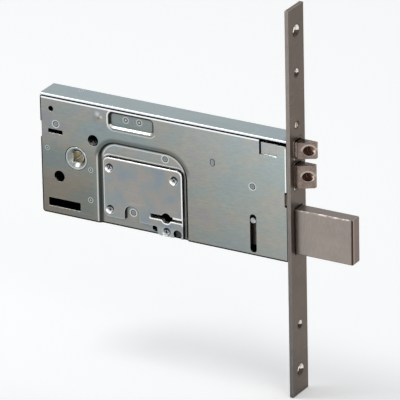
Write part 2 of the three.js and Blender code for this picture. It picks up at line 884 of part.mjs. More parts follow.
function deadboltTail() {
  const plate = slab(roundedShape([
    [tailRear, tailBottom, 0],
    [boltRear, tailBottom, tailFillet],
    [boltRear, tailTop - tailFootHeight, 0],
    [tailFront, tailTop - tailFootHeight, 0],
    [tailFront, tailTop, 0],
    [tailRear, tailTop, tailFillet],
  ]), tailY, tailY + tailThickness);
  const front = tailY - overrun;
  const back = tailY + tailThickness + overrun;
  const pitch = boltThrow / toothCount;
  const teeth = Array.from({ length: toothCount }, (_, index) => {
    const middle = keyX + pitch * (index + 1 / 2);
    return block(middle - toothWidth / 2, middle + toothWidth / 2, front, back,
      tailBottom - overrun, tailBottom + toothDepth);
  });
  return cut(
    plate,
    ...teeth,
    slab(slotShape(tailPostX, tailAxis, tailPostX + boltThrow, tailAxis,
      pillarRadius + slideGap), front, back),
    ...tailRivets.map(({ x, z }) => rodY(x, z, tailRivetRadius + seatGap, front, back)),
    rodY((fenceRear + fenceFront) / 2, tailAxis, fenceSpigot + seatGap, front, back),
  );
}

function deadboltFence() {
  return join(
    block(fenceRear, fenceFront, pocketInside + seatGap, tailY - seatGap,
      tailAxis - fenceHeight / 2, tailAxis + fenceHeight / 2),
    rodY((fenceRear + fenceFront) / 2, tailAxis, fenceSpigot, tailY - slideGap,
      tailY + tailThickness),
  );
}

function tailRivet({ x, z }) {
  const back = tailY + tailThickness;
  return join(
    rodY(x, z, tailRivetRadius, boltSide - tailRivetDepth, back + seatGap),
    rodY(x, z, tailRivetRadius + tailRivetHead, back + seatGap, back + seatGap + tailRivetHead),
  );
}

function tailGuidePost() {
  return join(
    rodY(tailPostX, tailAxis, pillarRadius, leverPackBack + seatGap, backInside - seatGap),
    rodY(tailPostX, tailAxis, postSpigot, leverPackBack + seatGap, backFace),
  );
}

function lever(index) {
  const front = leverFace + leverPitch * index;
  const back = front + leverThickness;
  const shoulder = keyX + leverShoulder;
  const shoulderZ = keyZ + leverShoulderHeight;
  const windowBottom = tailAxis - fenceHeight / 2 - leverLift - slideGap;
  const windowTop = tailAxis + fenceHeight / 2 + slideGap;
  const { top, key } = pillars;
  const half = pillarRadius + slideGap;
  const pitch = boltThrow / toothCount;
  const plate = slab(roundedShape([
    [leverRear, leverBottom, leverCorner],
    [leverFront, leverBottom, 0],
    [leverFront, shoulderZ, leverCorner],
    [shoulder, shoulderZ, 0],
    [shoulder, leverTop, leverCorner],
    [leverRear, leverTop, leverRearCorner],
  ]), front, back);
  const pockets = Array.from({ length: toothCount + 1 }, (_, station) => {
    const rear = fenceRear - pitch * station - slideGap;
    return block(rear, rear + fenceLength + 2 * slideGap, front - overrun, back + overrun,
      windowBottom, windowTop + leverPocketHeight);
  });
  return cut(
    plate,
    rodY(keyX, keyZ, keyArchRadius, front - overrun, back + overrun, fineSides),
    block(keyX - keyArchRadius, keyX + keyArchRadius, front - overrun, back + overrun,
      leverBottom - overrun, keyZ),
    block(leverWindowRear, leverWindowFront, front - overrun, back + overrun,
      windowBottom, windowTop),
    ...pockets,
    block(top.x - half, top.x + half, front - overrun, back + overrun,
      top.z - half - leverLift, leverTop + overrun),
    slab(slotShape(key.x, key.z - leverLift, key.x, key.z, half), front - overrun, back + overrun),
  );
}

function leverSpring(index) {
  const front = leverFace + leverPitch * index + (leverThickness - leafWidth) / 2;
  const rootX = leafBlockFront + seatGap;
  const rootZ = leafBlockZ;
  const tipX = rootX + leafLength;
  const touch = leverTop + seatGap;
  const shape = new THREE.Shape();
  shape.moveTo(rootX, rootZ);
  shape.quadraticCurveTo(rootX + leafLength / 2, rootZ, tipX, touch);
  shape.lineTo(tipX, touch + leafThickness);
  shape.quadraticCurveTo(rootX + leafLength / 2, rootZ + leafThickness, rootX, rootZ + leafThickness);
  return slab(shape, front, front + leafWidth);
}

function leafBlock() {
  return join(
    block(leafBlockRear, leafBlockFront, leverFace, backInside - seatGap,
      leafBlockBottom, leafBlockBottom + leafBlockHeight),
    rodY(leafBlockX, leafBlockZ, postSpigot, leverFace + seatGap, backFace),
  );
}

function latch({ bottom, height, projection }) {
  const middle = bottom + height / 2;
  const shape = new THREE.Shape();
  shape.moveTo(latchRear, -latchSide);
  shape.lineTo(bevelInset, -latchSide);
  shape.lineTo(projection, latchSide - noseThickness);
  shape.lineTo(projection, latchSide);
  shape.lineTo(latchRear, latchSide);
  shape.closePath();
  const recess = rodY(projection - noseHoleInset, middle, noseHoleRadius,
    -latchSide - overrun, latchSide - noseHoleFloor, fineSides);
  return join(
    cut(prism(shape, bottom, bottom + height), recess),
    rodX(0, middle, latchTailRadius, latchTailEnd, latchRear + seatGap),
    rodX(0, middle, latchCollarRadius, latchTailEnd, latchTailEnd + latchCollarLength),
  );
}

function latchPuller() {
  const side = pullerWidth / 2;
  const barSide = pullerThickness / 2;
  const tabFront = armTipX - armPadRadius - seatGap;
  const front = pullerX + bracketThickness;
  const reach = latchTailRadius + pullerFoot;
  const upright = block(pullerX, front, -side, side, Math.min(...tailHeights) - reach,
    Math.max(...tailHeights) + reach);
  return join(
    cut(upright, ...tailHeights.map((z) => join(
      rodX(0, z, tailHoleRadius, pullerX - overrun, front + overrun),
      block(pullerX - overrun, front + overrun, -side - overrun, 0,
        z - tailHoleRadius, z + tailHoleRadius),
    ))),
    block(tabFront - pullerTab, front, -barSide, barSide, pullerBottom, pullerBottom + pullerHeight),
    block(tabFront - pullerTab, tabFront, -armThickness / 2, armThickness / 2,
      armTipZ - pullerTabDrop, pullerBottom + pullerHeight),
  );
}

function latchBracket() {
  return join(
    cut(
      block(latchBracketRear, latchBracketFront, coverInside + seatGap, backInside - seatGap,
        camArmTop + camArmGap, topInside - seatGap),
      ...tailHeights.map((z) => rodX(0, z, tailHoleRadius, latchBracketRear - overrun,
        latchBracketFront + overrun)),
    ),
    slab(slotShape(tenonX, tenonZ - tenonRise, tenonX, tenonZ + tenonRise, bracketThickness / 2),
      coverFace, coverInside + 2 * seatGap),
  );
}

// A coil round a latch's tail from the bracket to the latch, with its ends along the tail.
function latchSpring({ bottom, height }) {
  const middle = bottom + height / 2;
  const rear = latchBracketFront + seatGap;
  const front = latchRear - seatGap;
  const end = 2 * latchWireRadius;
  const steps = latchCurls * stepsPerCurl;
  const points = [new THREE.Vector3(rear, 0, middle + latchCoilRadius)];
  for (let step = 0; step <= steps; step += 1) {
    const angle = (2 * Math.PI * step) / stepsPerCurl;
    const along = rear + end + ((front - rear - 2 * end) * step) / steps;
    points.push(new THREE.Vector3(along, latchCoilRadius * Math.sin(angle),
      middle + latchCoilRadius * Math.cos(angle)));
  }
  points.push(new THREE.Vector3(front, 0, middle + latchCoilRadius));
  console.log(`latch spring, least gap ${leastGap(points, latchWireRadius).toFixed(2)} mm`);
  return wire(points, latchWireRadius);
}

function followerHub() {
  const half = armThickness / 2;
  const along = new THREE.Vector2(Math.cos(armAngle), Math.sin(armAngle));
  const across = new THREE.Vector2(-along.y, along.x);
  const point = (reach, offset) => [
    followerX + along.x * reach + across.x * offset,
    followerZ + along.y * reach + across.y * offset,
  ];
  const arm = new THREE.Shape();
  arm.moveTo(...point(0, -armRootWidth / 2));
  arm.lineTo(...point(armLength, -armTipWidth / 2));
  arm.lineTo(...point(armLength, armTipWidth / 2));
  arm.lineTo(...point(0, armRootWidth / 2));
  arm.closePath();
  const [pegX, pegZ] = point(followerPegReach, 0);
  const square = spindleSquare / 2;
  return cut(
    join(
      rodY(followerX, followerZ, followerRadius, coverFace, backFace, fineSides),
      rodY(followerX, followerZ, followerFlange, coverInside + seatGap, half, fineSides),
      rodY(followerX, followerZ, followerDisc, -half, half, fineSides),
      slab(arm, -half, half),
      rodY(armTipX, armTipZ, armPadRadius, -half, half),
      rodY(pegX, pegZ, followerPegRadius, half - seatGap, half + followerPegHeight),
    ),
    block(followerX - square, followerX + square, coverFace - overrun, backFace + overrun,
      followerZ - square, followerZ + square),
    coneY(followerX, followerZ, followerDish, square, coverFace, coverFace + followerDishDepth,
      fineSides),
    coneY(followerX, followerZ, square, followerDish, backFace - followerDishDepth, backFace,
      fineSides),
  );
}

// A coil round the hub whose two straight legs meet the arm's peg and the anchor post.
function followerSpring() {
  const start = new THREE.Vector3(0, armThickness / 2 + seatGap + followerWireRadius, 0);
  const end = new THREE.Vector3(0, backInside - seatGap - followerWireRadius, 0);
  const steps = followerCurls * stepsPerCurl;
  const place = (angle, radius, y) => new THREE.Vector3(
    followerX + radius * Math.cos(angle), y, followerZ + radius * Math.sin(angle));
  const points = [place(springAngle, followerCoilRadius + followerLeg, start.y)];
  for (let step = 0; step <= steps; step += 1) {
    const angle = springAngle + (2 * Math.PI * step) / stepsPerCurl;
    const y = start.y + ((end.y - start.y) * step) / steps;
    points.push(place(angle, followerCoilRadius, y));
  }
  points.push(place(springAngle, followerCoilRadius + followerLeg, end.y));
  console.log(`follower spring, least gap ${leastGap(points, followerWireRadius).toFixed(2)} mm`);
  return wire(points, followerWireRadius);
}

function springAnchor() {
  return join(
    rodY(anchorX, anchorZ, anchorRadius, anchorFront, backInside - seatGap),
    rodY(anchorX, anchorZ, anchorSpigot, anchorFront, backFace),
  );
}

function rodSlider() {
  const half = sliderWidth / 2;
  const slotFar = pillars.front.z + sliderTravel;
  const front = sliderFace - overrun;
  const back = sliderBack + overrun;
  const camFarX = sliderX - boltThrow;
  const camFarZ = camPinZ + sliderTravel;
  return cut(
    join(
      block(sliderX - half, sliderX + half, sliderFace, sliderBack, sliderBottom, sliderTop),
      slab(slotShape(camFarX, camFarZ, sliderX, camPinZ, camSlotHalf + sliderWall),
        sliderFace, sliderBack),
    ),
    slab(slotShape(camFarX, camFarZ, sliderX, camPinZ, camSlotHalf), front, back),
    slab(slotShape(sliderX, pillars.front.z, sliderX, slotFar, pillarRadius + slideGap),
      front, back),
    rodY(sliderX, sliderPinZ, sliderPinNeck + seatGap, front, back),
  );
}

function rodSliderPin() {
  return join(
    rodY(sliderX, sliderPinZ, sliderPinRadius, coverFace, sliderFace - seatGap),
    rodY(sliderX, sliderPinZ, sliderPinNeck, coverFace + seatGap, sliderBack),
  );
}

function camPin() {
  return rodY(sliderX, camPinZ, camPinRadius, sliderFace, -boltSide + camPinDepth);
}

// The assembly

addPiece('case_tray', caseTray(), zincSheet());
addPiece('case_cover', caseCover(), zincSheet());
addPiece('faceplate', faceplate(), darkSteel());
addPiece('faceplate_bracket', frontBracket(), darkSteel());
addPiece('faceplate_screw_top', lugScrew(caseTop + lugScrewReach), screwSteel());
addPiece('faceplate_screw_bottom', lugScrew(caseBottom - lugScrewReach), screwSteel());
addPiece('guard_plate', guardPlate(), hardenedSteel());
guardScrews.forEach((place, index) => {
  addPiece(`guard_screw_${index + 1}`, guardScrew(place), screwSteel());
});
Object.entries(pillars).forEach(([name, place]) => {
  addPiece(`pillar_${name}`, pillar(place), innerSteel());
});
addPiece('tail_guide_post', tailGuidePost(), innerSteel());

addPiece('deadbolt_head', deadboltHead(), brushedSteel());
addPiece('deadbolt_tail', deadboltTail(), innerSteel());
addPiece('deadbolt_fence', deadboltFence(), innerSteel());
addPiece('deadbolt_cam_pin', camPin(), innerSteel());
tailRivets.forEach((place, index) => {
  addPiece(`tail_rivet_${index + 1}`, tailRivet(place), innerSteel());
});
addPiece('rod_slider', rodSlider(), zincSheet());
addPiece('rod_slider_pin', rodSliderPin(), screwSteel());

for (let index = 0; index < leverCount; index += 1) {
  addPiece(`lever_${index + 1}`, lever(index), innerSteel());
  addPiece(`lever_spring_${index + 1}`, leverSpring(index), springSteel());
}
addPiece('lever_spring_block', leafBlock(), innerSteel());

Object.entries(latches).forEach(([name, place]) => {
  addPiece(`latch_${name}`, latch(place), castLatch());
  addPiece(`latch_spring_${name}`, latchSpring(place), springSteel());
});
addPiece('latch_puller', latchPuller(), zincSheet());
addPiece('latch_bracket', latchBracket(), innerSteel());
addPiece('follower_hub', followerHub(), castZinc());
addPiece('follower_spring', followerSpring(), springSteel());
addPiece('follower_spring_anchor', springAnchor(), innerSteel());

export default lock;
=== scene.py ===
import json
import math

import bmesh
import bpy
from mathutils import Matrix, Vector, geometry


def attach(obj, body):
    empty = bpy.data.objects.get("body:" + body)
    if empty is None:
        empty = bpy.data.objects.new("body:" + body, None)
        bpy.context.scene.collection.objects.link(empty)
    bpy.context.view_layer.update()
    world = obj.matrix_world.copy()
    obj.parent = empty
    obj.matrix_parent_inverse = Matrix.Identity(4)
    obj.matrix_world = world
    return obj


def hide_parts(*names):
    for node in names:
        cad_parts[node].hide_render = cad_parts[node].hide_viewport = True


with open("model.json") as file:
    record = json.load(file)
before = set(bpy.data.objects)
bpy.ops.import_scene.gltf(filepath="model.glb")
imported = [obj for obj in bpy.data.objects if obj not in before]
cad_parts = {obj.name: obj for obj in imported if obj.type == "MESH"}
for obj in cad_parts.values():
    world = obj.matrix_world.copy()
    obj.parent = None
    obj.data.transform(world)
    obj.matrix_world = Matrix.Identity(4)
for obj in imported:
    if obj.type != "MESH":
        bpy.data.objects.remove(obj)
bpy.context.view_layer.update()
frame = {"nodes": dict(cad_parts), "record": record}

# The looks of a mortise lock. Shapes are written in millimetres in the part's own frame: X out of
# the door's edge, Y from the cover to the back of the case, Z up. MM turns them into metres.
MM = 0.001

# Planes of the case
COVER_FACE, BACK_INSIDE, BACK_FACE = -10.5, 8.9, 10.5
SHEET = 1.6
CASE_REAR, CASE_FRONT, COVER_FRONT = -203.35, -3.3, -3.5
CASE_TOP, CASE_BOTTOM = 45.9, -45.9
TOP_INSIDE, BOTTOM_INSIDE, COVER_TOP = 44.3, -44.3, 43.6
POCKET_DEPTH = 1.7
POCKET_FLOOR = COVER_FACE + POCKET_DEPTH

# Places and sizes that several pieces or coats share
KEY = (-101.15, -31.5)
KEY_REACH, KEY_RISE, KEY_HUB, KEY_WARD = 12.85, 1.65, 3.9, -0.8
FOLLOWER = (-174.45, 0.3)
FOLLOWER_HOLE = 9.1
FIXING_HOLES = [(-160.15, 16.8), (-188.75, -16.2)]
FIXING_RADIUS = 4.2
PILLARS = {
    "rear": (-190.65, 23.8, COVER_FACE),
    "top": (-102.15, 13.0, POCKET_FLOOR),
    "key": (-129.15, -33.4, POCKET_FLOOR),
    "front": (-30.8, 6.6, COVER_FACE),
}
PILLAR_HOLE = 2.2
TAIL_POST = (-93.4, -9.4)
LEAF_BLOCK = (-150.4, 20.1)
SPRING_ANCHOR = (-172.67, 13.98)
GUARD_FACE, GUARD_BACK = -11.0, -9.1
GUARD_SCREWS = [(-147.25, -1.3), (-94.35, -1.3), (-147.25, -33.3), (-101.15, -42.0)]
COUNTERSINK = 3.5
GUARD_RIM = ((-152.15, None, -60), (-87.55, None, 6.7), 4.6)
LABEL = ((-147.15, None, 29.4), (-110.05, None, 42.0), 4)
LUG_SCREWS = [55.2, -55.2]
SLIDER_PIN = (-30.8, -19.2)
TENON = (-62.8, 18.6)
LATCHES = {"upper": (31.5, 43.9, 13.9), "lower": (9.1, 26.7, 12.8)}
RECESS = {"upper": 3.7, "lower": 3.4}
RECESS_BACK = 4.4
FACEPLATE_HOLES = [(125.9, 2.7, 4.4), (-132.0, 2.7, 4.4), (94.5, 1.9, 3.2), (-96.9, 1.9, 3.2)]
BOLT = ((-37.2, -5.1, -40.9), (45.8, 5.1, -6.6))


# Outlines, as points in two directions


def circle(x, z, radius, steps=56):
    turns = [2 * math.pi * i / steps for i in range(steps)]
    return [(x + radius * math.cos(a), z + radius * math.sin(a)) for a in turns]


def rounded(corners, steps=8, closed=True):
    """A line through corners that each have a place and a radius."""
    points = []
    for i, (x, z, radius) in enumerate(corners):
        corner = Vector((x, z))
        end = not closed and i in (0, len(corners) - 1)
        if end or radius <= 0:
            points.append((x, z))
            continue
        back = (Vector(corners[i - 1][:2]) - corner).normalized()
        ahead = (Vector(corners[(i + 1) % len(corners)][:2]) - corner).normalized()
        half = math.acos(max(-1, min(1, back.dot(ahead)))) / 2
        centre = corner + (back + ahead).normalized() * (radius / math.sin(half))
        start = corner + back * (radius / math.tan(half)) - centre
        stop = corner + ahead * (radius / math.tan(half)) - centre
        first = math.atan2(start.y, start.x)
        turn = math.atan2(stop.y, stop.x) - first
        turn = (turn + math.pi) % (2 * math.pi) - math.pi
        for step in range(steps + 1):
            angle = first + turn * step / steps
            points.append((centre.x + radius * math.cos(angle),
                           centre.y + radius * math.sin(angle)))
    return points


def offset(corners, distance):
    """The same corners with every side moved outwards, and the radii fitted to that."""
    points = [Vector(corner[:2]) for corner in corners]
    area = sum(a.cross(b) for a, b in zip(points, points[1:] + points[:1]))
    moved = []
    for i, (x, z, radius) in enumerate(corners):
        arriving = (points[i] - points[i - 1]).normalized()
        leaving = (points[(i + 1) % len(points)] - points[i]).normalized()
        out = [Vector((way.y, -way.x)) * math.copysign(1, area) for way in (arriving, leaving)]
        place = points[i] + (out[0] + out[1]) * (distance / (1 + out[0].dot(out[1])))
        convex = arriving.cross(leaving) * area > 0
        moved.append((place.x, place.y, max(0.02, radius + (distance if convex else -distance))))
    return moved


def rectangle(x0, x1, z0, z1, radius, steps=6):
    return rounded([(x0, z0, radius), (x1, z0, radius), (x1, z1, radius), (x0, z1, radius)], steps)


def slot(x, z0, z1, half, steps=20):
    """An upright slot with round ends about two centres."""
    points = []
    for centre, first in ((z1, 0), (z0, math.pi)):
        for step in range(steps + 1):
            angle = first + math.pi * step / steps
            points.append((x + half * math.cos(angle), centre + half * math.sin(angle)))
    return points


def keyhole(grow=0.0, ward=None):
    """The double-bit key's bar with the round hole of its shank in the middle. A ward is how high
    the front arm reaches, where it reaches less than the rear one."""
    x, z = KEY
    reach, rise, radius = KEY_REACH + grow, KEY_RISE + grow, KEY_HUB + grow
    meet = math.asin(rise / radius)
    high = rise if ward is None else ward
    points = [(x + reach, z - rise), (x + reach, z + high)]
    for first, last in ((math.asin(high / radius), math.pi - meet),
                        (math.pi + meet, 2 * math.pi - meet)):
        for step in range(19):
            angle = first + (last - first) * step / 18
            points.append((x + radius * math.cos(angle), z + radius * math.sin(angle)))
        if last < math.pi:
            points += [(x - reach, z + rise), (x - reach, z - rise)]
    return points


# Shapes


def front(y):
    return lambda x, z: Vector((x, y, z))


def side(x):
    return lambda y, z: Vector((x, y, z))


def level(z):
    return lambda x, y: Vector((x, y, z))


def inside(loops, x, z):
    """Whether a place is inside the first loop and outside the others, by counting crossings."""
    odd = False
    for loop in loops:
        x0, z0 = loop[-1]
        for x1, z1 in loop:
            if (z0 > z) != (z1 > z) and x < x0 + (z - z0) * (x1 - x0) / (z1 - z0):
                odd = not odd
            x0, z0 = x1, z1
    return odd


def fill(bm, loops, plane):
    """Flat faces inside the first loop and outside the others."""
    points, edges = [], []
    for loop in loops:
        base = len(points)
        points += [Vector(p) for p in loop]
        edges += [(base + i, base + (i + 1) % len(loop)) for i in range(len(loop))]
    places, _, faces, *_ = geometry.delaunay_2d_cdt(points, edges, [], 0, 1e-6)
    made = [bm.verts.new(plane(*p)) for p in places]
    for face in faces:
        middle = sum((places[i] for i in face), Vector((0, 0))) / len(face)
        if inside(loops, *middle):
            bm.faces.new([made[i] for i in face])
    bmesh.ops.delete(bm, geom=[v for v in made if not v.link_faces], context="VERTS")


def strip(bm, rings, closed=True):
    """Quads between lines of points that are as long as each other."""
    rows = [[bm.verts.new(p) for p in ring] for ring in rings]
    for low, high in zip(rows, rows[1:]):
        for i in range(len(low) if closed else len(low) - 1):
            j = (i + 1) % len(low)
            bm.faces.new((low[i], low[j], high[j], high[i]))


def weld(bm):
    bmesh.ops.remove_doubles(bm, verts=bm.verts, dist=0.002)
    bmesh.ops.recalc_face_normals(bm, faces=bm.faces)
    return bm


def profiled_plate(outline, rims, holes, face, back):
    """A plate between two planes. outline and each hole are a function that gives their points
    when moved away from the plate's material, with the moves and depths of their walls' profile,
    from the face to the back."""
    bm = bmesh.new()
    ends = [[], []]
    walls = [(outline, -1, rims)] + [(hole, 1, profile) for hole, profile in holes]
    for loop, inward, profile in walls:
        rings = [[Vector((x, depth, z)) for x, z in loop(inward * move)] for move, depth in profile]
        strip(bm, rings)
        for end, (move, _) in zip(ends, (profile[0], profile[-1])):
            end.append(loop(inward * move))
    for depth, loops in zip((face, back), ends):
        fill(bm, loops, front(depth))
    return weld(bm)


def round_rims(face, back, edge):
    """The moves and depths of a wall whose two edges are rounded."""
    steps = [math.pi / 2 * step / 4 for step in range(5)]
    rims = [(edge * (1 - math.sin(a)), face + edge * (1 - math.cos(a))) for a in steps]
    return rims + [(move, back - (depth - face)) for move, depth in reversed(rims)]


def thicken(bm, shift):
    """Makes a skin a closed sheet, with its other face moved by shift from the first."""
    weld(bm)
    made = bmesh.ops.extrude_face_region(bm, geom=bm.faces[:], use_keep_orig=True)
    moved = [v for v in made["geom"] if isinstance(v, bmesh.types.BMVert)]
    bmesh.ops.translate(bm, verts=moved, vec=shift)
    bmesh.ops.recalc_face_normals(bm, faces=bm.faces)
    return bm


def prism(loops, plane, shift):
    bm = bmesh.new()
    fill(bm, loops, plane)
    return thicken(bm, Vector(shift))


def box(low, high):
    x0, y0, z0 = low
    x1, y1, z1 = high
    return prism([[(x0, z0), (x1, z0), (x1, z1), (x0, z1)]], front(y0), (0, y1 - y0, 0))


def lathe(profile, steps=64):
    """A turned shape about Z, from a line of radius and height that starts and ends on the axis."""
    bm = bmesh.new()
    rings = []
    for radius, height in profile:
        if radius < 1e-6:
            rings.append([bm.verts.new((0, 0, height))])
            continue
        turns = [2 * math.pi * i / steps for i in range(steps)]
        rings.append([bm.verts.new((radius * math.cos(a), radius * math.sin(a), height))
                      for a in turns])
    for low, high in zip(rings, rings[1:]):
        for i in range(steps):
            j = (i + 1) % steps
            ring = [low[i % len(low)], low[j % len(low)], high[j % len(high)], high[i % len(high)]]
            corners = list(dict.fromkeys(ring))
            if len(corners) > 2:
                bm.faces.new(corners)
    bmesh.ops.recalc_face_normals(bm, faces=bm.faces)
    return bm


def toward(axis):
    """The turn that takes a lathe's Z to axis."""
    return Vector(axis).to_track_quat("Z", "Y").to_matrix().to_4x4()


def placed(bm, matrix):
    bmesh.ops.transform(bm, matrix=matrix, verts=bm.verts)
    return bm


def rod(place, axis, radius, length, steps=56):
    """A plain round bar from place along axis."""
    bm = lathe([(0, 0), (radius, 0), (radius, length), (0, length)], steps)
    return placed(bm, Matrix.Translation(Vector(place)) @ toward(axis))


def joined(*parts):
    """Several shapes in one, each still a shell of its own."""
    bm = bmesh.new()
    for part in parts:
        mesh = bpy.data.meshes.new("part")
        part.to_mesh(mesh)
        part.free()
        bm.from_mesh(mesh)
        bpy.data.meshes.remove(mesh)
    return bm


# Objects


def linked(name, data):
    made = bpy.data.objects.new(name, data)
    bpy.context.scene.collection.objects.link(made)
    return made


def objectify(name, bm):
    """An object whose mesh is the shape in metres."""
    bmesh.ops.scale(bm, vec=(MM, MM, MM), verts=bm.verts)
    mesh = bpy.data.meshes.new(name)
    bm.to_mesh(mesh)
    bm.free()
    mesh.polygons.foreach_set("use_smooth", [True] * len(mesh.polygons))
    return linked(name, mesh)


def settle(made):
    """Gives the object the mesh that its modifiers make, and drops them."""
    graph = bpy.context.evaluated_depsgraph_get()
    graph.update()
    mesh = bpy.data.meshes.new_from_object(made.evaluated_get(graph), depsgraph=graph)
    old = made.data
    made.modifiers.clear()
    made.data = mesh
    bpy.data.meshes.remove(old)
    mesh.name = made.name
    return made


def discard(made):
    mesh = made.data
    bpy.data.objects.remove(made)
    bpy.data.meshes.remove(mesh)


def carve(made, tool, operation="DIFFERENCE"):
    """Cuts one shape out of another, or joins them."""
    modifier = made.modifiers.new("Carve", "BOOLEAN")
    modifier.operation = operation
    modifier.solver = "EXACT"
    modifier.use_self = True
    modifier.object = tool
    settle(made)
    discard(tool)
    return made


def soften(made, width, segments=3, angle=50, share=None):
    """Rounds the sharp edges as a punched or ground edge is, and keeps the flats flat to the eye.

    share gives the part of width that an edge gets, from the place of its middle."""
    mesh = made.data
    bm = bmesh.new()
    bm.from_mesh(mesh)
    bmesh.ops.dissolve_limit(bm, angle_limit=math.radians(0.3), verts=bm.verts, edges=bm.edges,
                             use_dissolve_boundaries=False, delimit=set())
    weights = bm.edges.layers.float.new("bevel_weight_edge")
    for edge in bm.edges:
        if edge.calc_face_angle(0) > math.radians(angle):
            middle = (edge.verts[0].co + edge.verts[1].co) / (2 * MM)
            edge[weights] = share(middle) if share else 1.0
    bm.to_mesh(mesh)
    bm.free()
    rounding = made.modifiers.new("Edges", "BEVEL")
    rounding.width = width * MM
    rounding.segments = segments
    rounding.limit_method = "WEIGHT"
    rounding.use_clamp_overlap = False
    rounding.miter_outer = "MITER_ARC"
    return shaded(made)


def shaded(made):
    """Lets the large flats decide how the surface is shaded at their rims."""
    made.data.polygons.foreach_set("use_smooth", [True] * len(made.data.polygons))
    shading = made.modifiers.new("Flats", "WEIGHTED_NORMAL")
    shading.mode = "FACE_AREA"
    shading.weight = 50
    return refilled(settle(made))


def refilled(made, most=12):
    """Divides the large flats into triangles by their outlines' crossings, which stays right where
    an outline nearly meets itself, and keeps the shading."""
    mesh = made.data
    normals = [None] * len(mesh.vertices)
    for loop, normal in zip(mesh.loops, mesh.corner_normals):
        normals[loop.vertex_index] = normal.vector.copy()
    bm = bmesh.new()
    bm.from_mesh(mesh)
    bm.verts.ensure_lookup_table()
    for flat in [face for face in bm.faces if len(face.verts) > most]:
        turn = flat.normal.to_track_quat("Z", "Y").to_matrix()
        corners = flat.verts[:]
        laid = [turn.transposed() @ corner.co for corner in corners]
        loop = [(place.x / MM, place.y / MM) for place in laid]
        sides = [(i, (i + 1) % len(loop)) for i in range(len(loop))]
        places, _, faces, origins, *_ = geometry.delaunay_2d_cdt(
            [Vector(point) for point in loop], sides, [], 0, 1e-6)
        made_corners = []
        for place, origin in zip(places, origins):
            if not origin:
                normals.append(flat.normal.copy())
                at = Vector((place.x * MM, place.y * MM, laid[0].z))
                made_corners.append(bm.verts.new(turn @ at))
            else:
                made_corners.append(corners[origin[0]])
        bm.faces.remove(flat)
        for face in faces:
            middle = sum((places[i] for i in face), Vector((0, 0))) / len(face)
            if inside([loop], *middle):
                bm.faces.new([made_corners[i] for i in face]).smooth = True
    bm.to_mesh(mesh)
    bm.free()
    mesh.normals_split_custom_set_from_vertices(normals)
    return made


def crisp(made, angle=32):
    made.data.set_sharp_from_angle(angle=math.radians(angle))
    return made


def finish(made, body, slot_name, *nodes, material=None):
    """Gives a piece its body and its slot's material or its own, and lets it stand for its CAD
    nodes."""
    made.data.materials.clear()
    made.data.materials.append(material or SLOTS[slot_name])
    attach(made, body)
    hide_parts(*nodes)


# Materials


def colour(code):
    """A hex sRGB colour as the linear values that a shader reads."""
    channels = [int(code[i:i + 2], 16) / 255 for i in (1, 3, 5)]
    linear = [c / 12.92 if c <= 0.04045 else ((c + 0.055) / 1.055) ** 2.4 for c in channels]
    return (*linear, 1.0)


def add(tree, kind, inputs=(), out=0, stops=(), **settings):
    """Adds a node, sets its properties, sets or links its inputs in order or by name, and gives
    its output out. stops are a colour ramp's places and colours. The kinds of a shader's nodes
    are named without their ShaderNode."""
    node = tree.nodes.new("ShaderNode" + kind if tree.type == "SHADER" else kind)
    for name, value in settings.items():
        setattr(node, name, value)
    for index, (position, code) in enumerate(stops):
        elements = node.color_ramp.elements
        element = elements[index] if index < len(elements) else elements.new(position)
        element.position, element.color = position, colour(code)
    for name, value in inputs.items() if isinstance(inputs, dict) else enumerate(inputs):
        if isinstance(value, bpy.types.NodeSocket):
            tree.links.new(value, node.inputs[name])
        else:
            node.inputs[name].default_value = value
    return node.outputs[out] if node.outputs else None


def within(tree, place, *limits):
    """How far a place lies inside limits. Each is an axis, the millimetre where it begins to hold
    and the one from which it holds in full."""
    share = None
    for axis, none, full in limits:
        part = add(tree, "SeparateXYZ", [place], out=axis)
        step = add(tree, "MapRange", (part, none * MM, full * MM),
                   interpolation_type="SMOOTHSTEP")
        if share is None:
            share = step
        else:
            share = add(tree, "Math", (share, step), operation="MULTIPLY")
    return share


def turned_to(tree, axis, none, full):
    """How far the surface faces along an axis."""
    normal = add(tree, "NewGeometry", out="Normal")
    part = add(tree, "SeparateXYZ", [normal], out=axis)
    return add(tree, "MapRange", (part, none, full), interpolation_type="SMOOTHSTEP")


def along(tree, place, axis, start, end, stops):
    """A colour that changes along an axis, between two places in millimetres."""
    part = add(tree, "SeparateXYZ", [place], out=axis)
    way = add(tree, "MapRange", (part, start * MM, end * MM))
    return add(tree, "ValToRGB", [way], stops=stops)


def from_outline(tree, place, low, high, radius):
    """The distance in millimetres from a rectangle with round corners, negative inside it. The
    axis that low and high give as None doesn't count."""
    counts = [0 if value is None else 1 for value in low]
    middle = [((a + b) / 2 if count else 0) for a, b, count in zip(low, high, counts)]
    core = [((b - a) / 2 - radius if count else 0) for a, b, count in zip(low, high, counts)]
    flat = add(tree, "VectorMath", (place, Vector(counts) / MM), operation="MULTIPLY")
    apart = add(tree, "VectorMath", (flat, middle), operation="SUBTRACT")
    folded = add(tree, "VectorMath", [apart], operation="ABSOLUTE")
    past = add(tree, "VectorMath", (folded, core), operation="SUBTRACT")
    beyond = add(tree, "VectorMath", (past, (0, 0, 0)), operation="MAXIMUM")
    outside = add(tree, "VectorMath", [beyond], out="Value", operation="LENGTH")
    parts = [add(tree, "SeparateXYZ", [past], out=axis)
             for axis, count in zip("XYZ", counts) if count]
    most = add(tree, "Math", parts, operation="MAXIMUM")
    depth = add(tree, "Math", (most, 0.0), operation="MINIMUM")
    total = add(tree, "Math", (outside, depth), operation="ADD")
    return add(tree, "Math", (total, radius), operation="SUBTRACT")


def from_circle(tree, place, middle, radius=0):
    """The distance from a circle or a point about an axis, the one that middle gives as None."""
    low, high = ([None if at is None else at + way * radius for at in middle] for way in (-1, 1))
    return from_outline(tree, place, low, high, radius)


